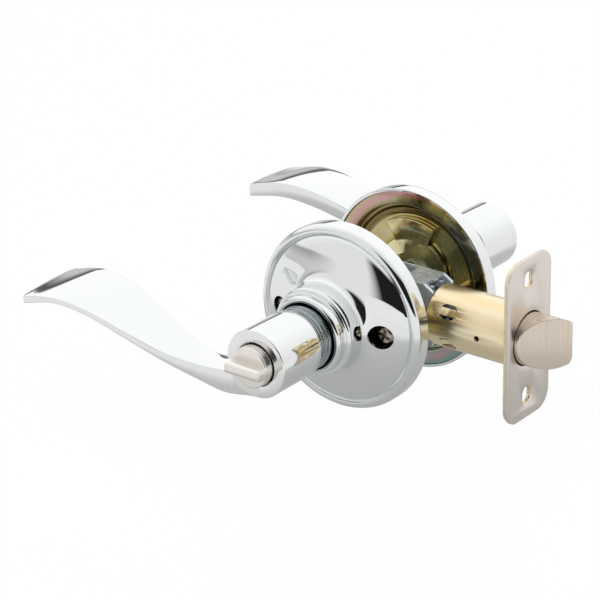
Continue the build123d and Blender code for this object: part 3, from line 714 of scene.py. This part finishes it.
def shank_grooves():
    points = []
    for start in GROOVE_STARTS:
        low = start + GROOVE_SLOPE
        high = low + GROOVE_FLOOR
        points += [
            (SHANK_RADIUS, start, GROOVE_ROUND), (GROOVE_RADIUS, low, GROOVE_ROUND),
            (GROOVE_RADIUS, high, GROOVE_ROUND), (SHANK_RADIUS, high + GROOVE_SLOPE, GROOVE_ROUND),
        ]
    return points


def hub_outline(hole):
    return (
        (SHANK_RADIUS, SHANK_START, 0.3), *shank_grooves(), (SHANK_RADIUS, HUB_START),
        (HUB_RADIUS, HUB_START + 0.1, 0.5), (HUB_RADIUS, HUB_END, 0.45), (hole, HUB_END, 0.25),
        (hole, BUTTON_WALL), (SLEEVE_BORE, BUTTON_WALL), (SLEEVE_BORE, SHANK_START, 0.3),
    )


ARM_BORE = 8.4
CATCH_SLOT = (5.6, 7.4, 0.5)
CATCH_SLOT_REACH = (6.0, 14.0)


def make_levers():
    holes = {"inside": BUTTON_HOLE, "outside": RELEASE_HOLE}
    for name, side in SIDES.items():
        lever = turned(f"{name}_lever_handle", hub_outline(holes[name]), side)
        arm = make_arm("arm", side)
        bore = rod("bore", ARM_BORE, (0, side * (SHANK_START - 1), 0), (0, side * BUTTON_WALL, 0))
        combine(arm, bore, "DIFFERENCE")
        mouth = rod("mouth", holes[name], (0, side * (BUTTON_WALL - 1), 0), (0, side * (HUB_END + 9), 0))
        combine(arm, mouth, "DIFFERENCE")
        combine(lever, arm, "UNION")
        lean = Matrix.Rotation(math.radians(90 - CATCH_ANGLE), 4, "Y")
        across = Matrix.Translation((0, side * CATCH_DEPTH * MM, 0)) @ lean
        slot = prism("slot", box_outline(*CATCH_SLOT, 4), *CATCH_SLOT_REACH, across)
        combine(lever, slot, "DIFFERENCE")
        clean(lever)
        dress(lever, "chrome", f"{name}_handle", "polished_chrome", f"{name}_lever", angle=30)


# Turn button with a raised thumb rib
BUTTON_RADIUS = 7.1
BUTTON_FLANGE = 8.0
BUTTON_BACK = 58.9
BUTTON_FACE = HUB_END + 3.4
RIB_CREST = BUTTON_FACE + 4.6
RIB_WIDTH = 4.0
RIB_REACH = 7.4
BAR_HOLE = 1.6
ALONG_RIB = Matrix(((0, 0, 1, 0), (0, -1, 0, 0), (1, 0, 0, 0), (0, 0, 0, 1)))


def make_button():
    flange_top = BUTTON_WALL - 0.3
    outline = (
        (BAR_HOLE, BUTTON_BACK), (BUTTON_FLANGE, BUTTON_BACK, 0.2), (BUTTON_FLANGE, flange_top, 0.2),
        (BUTTON_RADIUS, flange_top), (BUTTON_RADIUS, BUTTON_FACE, 0.5), (BAR_HOLE, BUTTON_FACE),
    )
    button = turned("turn_button_head", outline, -1)
    plug = rod("plug", BAR_HOLE + 0.2, (0, -BUTTON_WALL, 0), (0, -(BUTTON_FACE - 0.05), 0), 48)
    combine(button, plug, "UNION")
    half = RIB_WIDTH / 2
    shape = ((-half, HUB_END), (-half, RIB_CREST, 1.6), (half, RIB_CREST, 1.6), (half, HUB_END))
    rib = prism("rib", rounded(shape, 10), -RIB_REACH, RIB_REACH, ALONG_RIB)
    edge = BUTTON_RADIUS - 0.02
    top = RIB_CREST + 0.2
    blank = turned("blank", ((0.02, HUB_END - 1), (edge, HUB_END - 1), (edge, top, 1.5), (0.02, top)), -1, 96)
    combine(rib, blank, "INTERSECT")
    combine(button, rib, "UNION")
    clean(button)
    dress(button, "button", "privacy_lock", "satin_nickel", "turn_button")


# Mounting plates and the spring drivers in their dishes
PLATE_BORE = 8.36
PLATE_RADIUS = 31.57
RIM_BACK = 18.05
RIM_FRONT = 19.55
RING_BACK = PLATE_BACK - 0.7
PLATE_OUTLINE = (
    (PLATE_BORE, PLATE_BACK, 0.2), (22.4, PLATE_BACK, 0.4), (23.2, RING_BACK, 0.4), (24.6, RING_BACK, 0.4),
    (25.4, PLATE_BACK, 0.4), (26.7, PLATE_BACK, 0.6), (26.7, RIM_BACK, 0.5), (PLATE_RADIUS, RIM_BACK, 0.4),
    (PLATE_RADIUS, RIM_FRONT, 0.4), (28.2, RIM_FRONT, 0.6), (28.2, PLATE_FRONT, 1.4),
    (PLATE_BORE, PLATE_FRONT, 0.2),
)
SCREW_HOLE = 2.1


def make_plates():
    for name, side in SIDES.items():
        plate = turned(f"{name}_dished_plate", PLATE_OUTLINE, side)
        for place in (-SCREW_X, SCREW_X):
            tool = rod("hole", SCREW_HOLE, (place, side * 17, 0), (place, side * 25, 0), 32)
            combine(plate, tool, "DIFFERENCE")
        dress(plate, "chromate", "door_fixed", "yellow_zinc_steel", f"{name}_mounting_plate")


DRIVER_BORE = 5.8
DRIVER_HUB = 14.4
DRIVER_OUTLINE = (
    (DRIVER_BORE, DRIVER_BACK, 0.2), (9.0, DRIVER_BACK, 2.0), (13.2, DRIVER_BACK + 1.0, 1.0),
    (DRIVER_HUB, DRIVER_BACK + 1.2, 0.2), (DRIVER_HUB, DRIVER_FRONT, 0.2), (DRIVER_BORE, DRIVER_FRONT),
)
WING_CORNERS = (
    (13.6, DRIVER_BACK), (21.4, DRIVER_BACK), (21.4, DRIVER_FRONT), (13.6, DRIVER_FRONT),
)
WING_START = math.radians(65)
WING_SPREAD = math.radians(54)


def make_drivers():
    for name, side in SIDES.items():
        driver = turned(f"{name}_spring_driver_plate", DRIVER_OUTLINE, side)
        wing = start_piece("wing", bpy.ops.mesh.primitive_circle_add, vertices=4, radius=1.0)
        for vertex, (radius, depth) in zip(wing.data.vertices, WING_CORNERS):
            across, up = radius * math.cos(WING_START), radius * math.sin(WING_START)
            vertex.co = Vector((across, side * depth, up)) * MM
        in_edit_mode(
            wing,
            lambda: bpy.ops.mesh.edge_face_add(),
            lambda: bpy.ops.mesh.spin(steps=40, angle=WING_SPREAD, center=(0, 0, 0), axis=(0, 1, 0)),
        )
        clean(wing)
        soften(wing, 0.7, 3)
        combine(driver, wing, "UNION")
        dress(driver, "chromate", f"{name}_handle", "yellow_zinc_steel", f"{name}_spring_driver")


# Mounting screws in the inside rose, with a cross recess in a domed head
SCREW_RADIUS = 2.0
SCREW_TIP = -10.0
HEAD_RADIUS = 3.7
HEAD_TOP = 26.15
SCREW_OUTLINE = (
    (0.02, SCREW_TIP), (SCREW_RADIUS, SCREW_TIP, 0.4), (SCREW_RADIUS, PLATE_FRONT),
    (HEAD_RADIUS, PLATE_FRONT, 0.2), (HEAD_RADIUS, 25.0, 0.9), (2.4, HEAD_TOP, 1.4), (0.02, HEAD_TOP),
)
CROSS_REACH = 2.3
CROSS_HALF = 0.5
CROSS_FLOOR = 24.6
CROSS_TURN = 0.35


def make_screws():
    for number, place in enumerate((-SCREW_X, SCREW_X)):
        screw = turned(f"mounting_screw_{number + 1}", SCREW_OUTLINE, -1, 64)
        along = Matrix.Translation((place * MM, 0, 0))
        screw.data.transform(along)
        for turn in (CROSS_TURN, CROSS_TURN + math.pi / 2):
            low = (-CROSS_REACH, -HEAD_TOP - 0.85, -CROSS_HALF)
            high = (CROSS_REACH, -CROSS_FLOOR, CROSS_HALF)
            tool = brick("cross", low, high, along @ Matrix.Rotation(turn, 4, "Y"))
            combine(screw, tool, "DIFFERENCE")
        if number == 0:
            dress(screw, "screw", "door_fixed", "zinc_steel", "mounting_screws")
        else:
            dress(screw, "screw", "door_fixed", "zinc_steel")


# Latch front: faceplate over a back plate, both with rounded corners and slots for the wood screws.
# Local X runs across the plate, local Y up and local Z along the latch.
ALONG_LATCH = Matrix(((0, 0, 1, 0), (1, 0, 0, 0), (0, 1, 0, 0), (0, 0, 0, 1)))
SLOT_CORNER = 2.19
SINK_WIDTH = 7.2
SINK_HEIGHT = 8.6
SINK_DEPTH = 0.7
BOLT_HOLE = BOLT_RADIUS + 0.45
FRONT_PLATES = (
    ("faceplate_front", (25.4, 57.15, 6.35), 1, "nickel", "satin_nickel", "latch_faceplate"),
    ("faceplate_back", (24.4, 56.15, 5.85), 2, "tube", "yellow_zinc_steel", "latch_back_plate"),
)


# A tapered countersink: the slot's outline, widened at the plate's front.
def countersink(outline, end, place):
    sink = prism("sink", outline, end - SINK_DEPTH, end + 0.05, Matrix())
    for vertex in sink.data.vertices:
        if vertex.co.z > (end - SINK_DEPTH / 2) * MM:
            vertex.co.x *= SINK_WIDTH / SLOT_WIDTH
            vertex.co.y *= SINK_HEIGHT / SLOT_HEIGHT
    sink.data.transform(place)
    return sink


def make_latch_front():
    slot_outline = box_outline(SLOT_WIDTH, SLOT_HEIGHT, SLOT_CORNER)
    for name, size, layer, material, slot, node in FRONT_PLATES:
        start = BACKSET - layer * FRONT_STEEL
        end = start + FRONT_STEEL
        plate = prism(name, box_outline(*size, 14), start, end, ALONG_LATCH)
        hole = rod("bolt_hole", BOLT_HOLE, (start - 1, 0, 0), (end + 1, 0, 0), 96)
        combine(plate, hole, "DIFFERENCE")
        for z in (-SLOT_Z, SLOT_Z):
            place = Matrix.Translation((0, 0, z * MM)) @ ALONG_LATCH
            combine(plate, prism("slot", slot_outline, start - 1, end + 1, place), "DIFFERENCE")
            if material == "nickel":
                combine(plate, countersink(slot_outline, end, place), "DIFFERENCE")
        soften(plate, 0.22, 3)
        dress(plate, material, "door_fixed", slot, node)


# Latch tube with lanced windows: each has a strip left across it that is pressed in
TUBE_END = BACKSET - 2 * FRONT_STEEL
WINDOW_X = 34.2
WINDOW_LEANS = (57, 123, -57, -123)
WINDOW_SIZE = (6.8, 5.2, 2.5)
STRIP_HALF = 3.6
STRIP_SIDE = 1.3
STRIP_SAG = 0.65
STRIP_STEPS = 8
PIN_HOLE_X = 46.7
PIN_HOLE = 1.0


def strip_outline():
    steps = [STRIP_HALF * number / STRIP_STEPS for number in range(-STRIP_STEPS, STRIP_STEPS + 1)]
    sag = [STRIP_SAG * math.cos(math.pi * x / (2 * STRIP_HALF)) ** 2 for x in steps]
    upper = [(x, TUBE_RADIUS - 0.05 - dip) for x, dip in zip(steps, sag)]
    lower = [(x, TUBE_RADIUS - TUBE_WALL + 0.05 - dip) for x, dip in zip(steps, sag)]
    return upper + lower[::-1]


def make_tube():
    tube = rod("latch_tube_shell", TUBE_RADIUS, (TUBE_START, 0, 0), (TUBE_END, 0, 0), 160)
    bore = rod("bore", TUBE_RADIUS - TUBE_WALL, (TUBE_START - 1, 0, 0), (TUBE_END + 1, 0, 0), 160)
    combine(tube, bore, "DIFFERENCE")
    upright = Matrix.Rotation(math.radians(90), 4, "X")
    for lean in WINDOW_LEANS:
        turn = Matrix.Translation((WINDOW_X * MM, 0, 0)) @ Matrix.Rotation(math.radians(lean), 4, "X")
        window = prism("window", box_outline(*WINDOW_SIZE), TUBE_RADIUS - 4, TUBE_RADIUS + 2, turn)
        combine(tube, window, "DIFFERENCE")
        strip = prism("strip", strip_outline(), -STRIP_SIDE, STRIP_SIDE, turn @ upright)
        combine(tube, strip, "UNION")
    pin_hole = rod("pin_hole", PIN_HOLE, (PIN_HOLE_X, 0, 0), (PIN_HOLE_X, -14, 0), 32)
    combine(tube, pin_hole, "DIFFERENCE")
    soften(tube, 0.12, 2)
    dress(tube, "tube", "door_fixed", "yellow_zinc_steel", "latch_tube")


# Latch bolt: round bar with a flat back and the strike bevel
BOLT_START = 42.0
BOLT_TIP = BACKSET + BOLT_THROW
BOLT_FLAT = 6.5
BEVEL_END = 4.7


def make_bolt():
    bolt = rod("latch_bolt_bar", BOLT_RADIUS, (BOLT_START, 0, 0), (BOLT_TIP, 0, 0), 128)
    slope_start = Vector((BACKSET + FRONT_STEEL, -BOLT_RADIUS, 0)) * MM
    slope_end = Vector((BOLT_TIP, BEVEL_END, 0)) * MM
    along = (slope_end - slope_start).normalized()
    outward = Vector((along.y, -along.x, 0))
    in_edit_mode(
        bolt,
        lambda: bpy.ops.mesh.bisect(
            plane_co=(0, BOLT_FLAT * MM, 0), plane_no=(0, 1, 0), use_fill=True, clear_outer=True
        ),
        lambda: bpy.ops.mesh.select_all(action="SELECT"),
        lambda: bpy.ops.mesh.bisect(plane_co=slope_start, plane_no=outward, use_fill=True, clear_outer=True),
    )
    soften(bolt, 0.6, 4)
    dress(bolt, "bolt", "bolt", "satin_nickel", "latch_bolt")


# Solids that stay as they are get their finish
INNER_FINISHES = {
    "zinc": (
        "latch_case_near", "latch_case_far", "case_rivets", "bolt_tail", "tail_pins", "latch_cam",
        "spring_seat", "spindle", "privacy_bar", "emergency_release_plug",
    ),
    "chromate": (
        "inside_spindle_sleeve", "outside_spindle_sleeve", "inside_lever_catch", "outside_lever_catch",
        "screw_posts",
    ),
    "spring": (
        "inside_return_spring", "outside_return_spring", "latch_spring", "inside_retaining_ring",
        "outside_retaining_ring", "inside_catch_spring", "outside_catch_spring",
    ),
    "nylon": ("inside_collar_bush", "outside_collar_bush"),
}


def finish_inner_works():
    for name, nodes in INNER_FINISHES.items():
        for node in nodes:
            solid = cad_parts[node]
            for place in solid.material_slots:
                place.material = finish(name)


# Stage: pale floor, white surround with darker studio walls for the reflections, soft lamps, camera
FLOOR_RADIUS = 4.0
FLOOR_GAP = 3.0 * MM
LEVER_TURN = 50.0
FLOOR_REACH = 2.0
FLOOR_STOPS = ((0.0, 0.4), (0.04, 0.46), (0.097, 0.6), (0.121, 0.92), (0.25, 0.97))
FLOOR_GLOW = 0.96
DUSK_BEARING = (-0.66, 0.75, 0.0)
FLOOR_DUSK = 0.5


# The floor clears the levers' tips when they are pressed down. It is white to the camera. What the metal
# mirrors of it is grey near the set, which shades it, and again far away at the back left.
def make_floor():
    lever_low = CAD_BOX[0][0] * math.sin(math.radians(LEVER_TURN))
    floor = start_piece(
        "floor", bpy.ops.mesh.primitive_circle_add, vertices=96, radius=FLOOR_RADIUS, fill_type="NGON",
        location=(0, 0, lever_low - FLOOR_GAP),
    )
    material = bpy.data.materials.new("pale_floor")
    material.use_nodes = True
    tree = material.node_tree
    shader = tree.nodes["Principled BSDF"]
    shader.inputs["Base Color"].default_value = hex_colour("#F4F4F4")
    shader.inputs["Roughness"].default_value = 0.9
    shader.inputs["Specular IOR Level"].default_value = 0.0
    coords = add_node(tree, "ShaderNodeTexCoord")
    apart = add_node(tree, "ShaderNodeVectorMath", {"operation": "LENGTH"}, {0: coords.outputs["Object"]})
    near = add_node(tree, "ShaderNodeMapRange", {"From Max": FLOOR_REACH}, {"Value": apart.outputs["Value"]})
    shade = add_node(tree, "ShaderNodeValToRGB", links={"Fac": near.outputs[0]})
    set_ramp(shade, grey_stops(FLOOR_STOPS))
    far = add_node(
        tree, "ShaderNodeVectorMath", {"operation": "DOT_PRODUCT", 1: DUSK_BEARING},
        {0: coords.outputs["Object"]},
    )
    bearing = add_node(
        tree, "ShaderNodeMath", {"operation": "DIVIDE"}, {0: far.outputs["Value"], 1: apart.outputs["Value"]}
    )
    corner = add_node(tree, "ShaderNodeMapRange", {1: 0.72, 2: 0.92}, {0: bearing.outputs[0]})
    away = add_node(tree, "ShaderNodeMapRange", {1: 0.4, 2: 1.6}, {0: apart.outputs["Value"]})
    dusk = add_node(
        tree, "ShaderNodeMath", {"operation": "MULTIPLY"}, {0: corner.outputs[0], 1: away.outputs[0]}
    )
    ground = add_node(
        tree, "ShaderNodeMix", {"data_type": "RGBA", 7: grey(FLOOR_DUSK)},
        {0: dusk.outputs[0], 6: shade.outputs[0]},
    )
    path = add_node(tree, "ShaderNodeLightPath")
    colour = add_node(
        tree, "ShaderNodeMix", {"data_type": "RGBA", 7: grey(1.0)},
        {0: path.outputs["Is Camera Ray"], 6: ground.outputs[2]},
    )
    glow = add_node(tree, "ShaderNodeEmission", {"Strength": 1.0}, {"Color": colour.outputs[2]})
    seen = add_node(
        tree, "ShaderNodeMath", {"operation": "MAXIMUM"},
        {0: path.outputs["Is Camera Ray"], 1: path.outputs["Is Glossy Ray"]},
    )
    share = add_node(tree, "ShaderNodeMath", {"operation": "MULTIPLY", 1: FLOOR_GLOW}, {0: seen.outputs[0]})
    mix = add_node(
        tree, "ShaderNodeMixShader",
        links={0: share.outputs[0], 1: shader.outputs["BSDF"], 2: glow.outputs["Emission"]},
    )
    tree.links.new(mix.outputs[0], tree.nodes["Material Output"].inputs["Surface"])
    floor.data.materials.append(material)


# Stops around the room start and end at the back and have 0.5 at the front and 0.75 at the latch end.
# Stops up the room have 0 straight down, 0.5 level and 1 straight up.
CARD_AROUND = ((0.485, 0.0), (0.515, 1.0), (0.69, 1.0), (0.73, 0.0))
CARD_UP = ((0.45, 0.0), (0.49, 1.0), (0.78, 1.0), (0.86, 0.0))
CARD_TONE = 0.015
WASH_BEARING = (-0.38, 0.66, 0.64)
WASH_LOW = 0.91
WASH_HIGH = 1.2
DUSK_AROUND = ((0.03, 0.0), (0.08, 1.0), (0.16, 1.0), (0.24, 0.6), (0.36, 0.6), (0.42, 0.0))
DUSK_UP = ((0.52, 0.5), (0.575, 1.0), (0.59, 0.95), (0.605, 0.0))
DUSK_TONE = 0.1
FILL_LIGHT = 0.62


# The metal mirrors a bright room with a dark card at the camera's side and a low dusky wall from the
# back round to the left. The camera itself sees white, and other rays find an even fill light.
def make_world():
    world = bpy.data.worlds.new("studio")
    bpy.context.scene.world = world
    world.use_nodes = True
    tree = world.node_tree
    background = tree.nodes["Background"]
    coords = add_node(tree, "ShaderNodeTexCoord")
    axes = add_node(tree, "ShaderNodeSeparateXYZ", links={0: coords.outputs["Generated"]})
    front = add_node(tree, "ShaderNodeMath", {"operation": "MULTIPLY", 1: -1.0}, {0: axes.outputs["Y"]})
    across = add_node(
        tree, "ShaderNodeMath", {"operation": "ARCTAN2"}, {0: axes.outputs["X"], 1: front.outputs[0]}
    )
    turn = add_node(tree, "ShaderNodeMapRange", {1: -math.pi, 2: math.pi}, {0: across.outputs[0]})
    side = add_node(tree, "ShaderNodeValToRGB", links={0: turn.outputs[0]})
    set_ramp(side, grey_stops(CARD_AROUND))
    lift = add_node(tree, "ShaderNodeMapRange", {1: -1.0, 2: 1.0}, {0: axes.outputs["Z"]})
    rise = add_node(tree, "ShaderNodeValToRGB", links={0: lift.outputs[0]})
    set_ramp(rise, grey_stops(CARD_UP))
    card = add_node(
        tree, "ShaderNodeMath", {"operation": "MULTIPLY"}, {0: side.outputs[0], 1: rise.outputs[0]}
    )
    bright = add_node(
        tree, "ShaderNodeVectorMath", {"operation": "DOT_PRODUCT", 1: WASH_BEARING},
        {0: coords.outputs["Generated"]},
    )
    wash = add_node(
        tree, "ShaderNodeMapRange", {1: 0.1, 2: 0.85, 3: WASH_LOW, 4: WASH_HIGH}, {0: bright.outputs["Value"]}
    )
    corner = add_node(tree, "ShaderNodeValToRGB", links={0: turn.outputs[0]})
    set_ramp(corner, grey_stops(DUSK_AROUND))
    low = add_node(tree, "ShaderNodeValToRGB", links={0: lift.outputs[0]})
    set_ramp(low, grey_stops(DUSK_UP))
    dusk = add_node(
        tree, "ShaderNodeMath", {"operation": "MULTIPLY"}, {0: corner.outputs[0], 1: low.outputs[0]}
    )
    walls = add_node(
        tree, "ShaderNodeMix", {"data_type": "RGBA", 7: grey(DUSK_TONE)},
        {0: dusk.outputs[0], 6: wash.outputs[0]},
    )
    room = add_node(
        tree, "ShaderNodeMix", {"data_type": "RGBA", 7: grey(CARD_TONE)},
        {0: card.outputs[0], 6: walls.outputs[2]},
    )
    path = add_node(tree, "ShaderNodeLightPath")
    shown = add_node(
        tree, "ShaderNodeMix", {"data_type": "RGBA", 6: grey(FILL_LIGHT), 7: grey(1.0)},
        {0: path.outputs["Is Camera Ray"]},
    )
    choice = add_node(
        tree, "ShaderNodeMix", {"data_type": "RGBA"},
        {0: path.outputs["Is Glossy Ray"], 6: shown.outputs[2], 7: room.outputs[2]},
    )
    tree.links.new(choice.outputs[2], background.inputs["Color"])


LAMP_TARGET = Vector((-0.03, 0, 0))
LAMPS = (
    ("key_lamp", (-0.42, 0.73, 0.9), 1.0, 6.0),
    ("front_lamp", (0.5, -0.75, 0.7), 0.7, 9.0),
)


def add_lamp(name, place, size, power):
    data = bpy.data.lights.new(name, "AREA")
    data.size = size
    data.energy = power
    lamp = bpy.data.objects.new(name, data)
    bpy.context.scene.collection.objects.link(lamp)
    lamp.location = place
    lamp.rotation_euler = (LAMP_TARGET - Vector(place)).to_track_quat("-Z", "Y").to_euler()
    lamp.visible_camera = False
    lamp.visible_glossy = False


def make_camera():
    stage = settings().stage
    right = Vector((math.cos(stage.azimuth), math.sin(stage.azimuth), 0))
    back = Vector((
        math.sin(stage.azimuth) * math.cos(stage.elevation),
        -math.cos(stage.azimuth) * math.cos(stage.elevation),
        math.sin(stage.elevation),
    ))
    up = back.cross(right)
    tilt_right = right * math.cos(stage.roll) + up * math.sin(stage.roll)
    tilt_up = up * math.cos(stage.roll) - right * math.sin(stage.roll)
    data = bpy.data.cameras.new("camera")
    data.lens = stage.lens
    data.sensor_width = 36.0
    data.clip_start = 0.01
    camera = bpy.data.objects.new("camera", data)
    bpy.context.scene.collection.objects.link(camera)
    place = Vector(stage.target) + back * stage.distance
    turn = Matrix((tilt_right, tilt_up, back)).transposed().to_4x4()
    camera.matrix_world = Matrix.Translation(place) @ turn
    bpy.context.scene.camera = camera


class DOORLEVER_OT_roses(bpy.types.Operator):
    """Model the two chrome rose covers"""
    bl_idname = "door_lever.roses"
    bl_label = "Roses"

    def execute(self, context):
        make_roses()
        return {"FINISHED"}


class DOORLEVER_OT_levers(bpy.types.Operator):
    """Model the two chrome lever handles"""
    bl_idname = "door_lever.levers"
    bl_label = "Levers"

    def execute(self, context):
        make_levers()
        return {"FINISHED"}


class DOORLEVER_OT_button(bpy.types.Operator):
    """Model the turn button"""
    bl_idname = "door_lever.button"
    bl_label = "Turn button"

    def execute(self, context):
        make_button()
        return {"FINISHED"}


class DOORLEVER_OT_plates(bpy.types.Operator):
    """Model the dished mounting plates and the spring drivers"""
    bl_idname = "door_lever.plates"
    bl_label = "Mounting plates"

    def execute(self, context):
        make_plates()
        make_drivers()
        return {"FINISHED"}


class DOORLEVER_OT_screws(bpy.types.Operator):
    """Model the mounting screws"""
    bl_idname = "door_lever.screws"
    bl_label = "Mounting screws"

    def execute(self, context):
        make_screws()
        return {"FINISHED"}


class DOORLEVER_OT_latch(bpy.types.Operator):
    """Model the latch front, tube and bolt"""
    bl_idname = "door_lever.latch"
    bl_label = "Latch"

    def execute(self, context):
        make_latch_front()
        make_tube()
        make_bolt()
        return {"FINISHED"}


class DOORLEVER_OT_inner_works(bpy.types.Operator):
    """Give the solids that stay their finishes"""
    bl_idname = "door_lever.inner_works"
    bl_label = "Inner works"

    def execute(self, context):
        finish_inner_works()
        return {"FINISHED"}


class DOORLEVER_OT_stage(bpy.types.Operator):
    """Set up the floor, the surround, the lamps and the camera"""
    bl_idname = "door_lever.stage"
    bl_label = "Stage"

    def execute(self, context):
        context.scene.view_settings.view_transform = "Standard"
        make_floor()
        make_world()
        for lamp in LAMPS:
            add_lamp(*lamp)
        make_camera()
        return {"FINISHED"}


OPERATORS = (
    DOORLEVER_OT_roses,
    DOORLEVER_OT_levers,
    DOORLEVER_OT_button,
    DOORLEVER_OT_plates,
    DOORLEVER_OT_screws,
    DOORLEVER_OT_latch,
    DOORLEVER_OT_inner_works,
    DOORLEVER_OT_stage,
)


class DOORLEVER_PT_panel(bpy.types.Panel):
    """Buttons for each step"""
    bl_idname = "DOORLEVER_PT_panel"
    bl_label = "Door lever set"
    bl_space_type = "VIEW_3D"
    bl_region_type = "UI"
    bl_category = "Door lever set"

    def draw(self, context):
        for operator in OPERATORS:
            self.layout.operator(operator.bl_idname)
        for group in ("finish", "lever", "stage"):
            box = self.layout.box()
            values = getattr(context.scene.door_lever, group)
            for name in values.__annotations__:
                box.prop(values, name)


CLASSES = (FinishSettings, LeverSettings, StageSettings, DoorLeverSettings, *OPERATORS, DOORLEVER_PT_panel)


def register():
    for entry in CLASSES:
        bpy.utils.register_class(entry)
    bpy.types.Scene.door_lever = PointerProperty(type=DoorLeverSettings)


def unregister():
    del bpy.types.Scene.door_lever
    for entry in reversed(CLASSES):
        bpy.utils.unregister_class(entry)


def main():
    register()
    bpy.ops.door_lever.roses()
    bpy.ops.door_lever.levers()
    bpy.ops.door_lever.button()
    bpy.ops.door_lever.plates()
    bpy.ops.door_lever.screws()
    bpy.ops.door_lever.latch()
    bpy.ops.door_lever.inner_works()
    bpy.ops.door_lever.stage()


if __name__ == "__main__":
    main()
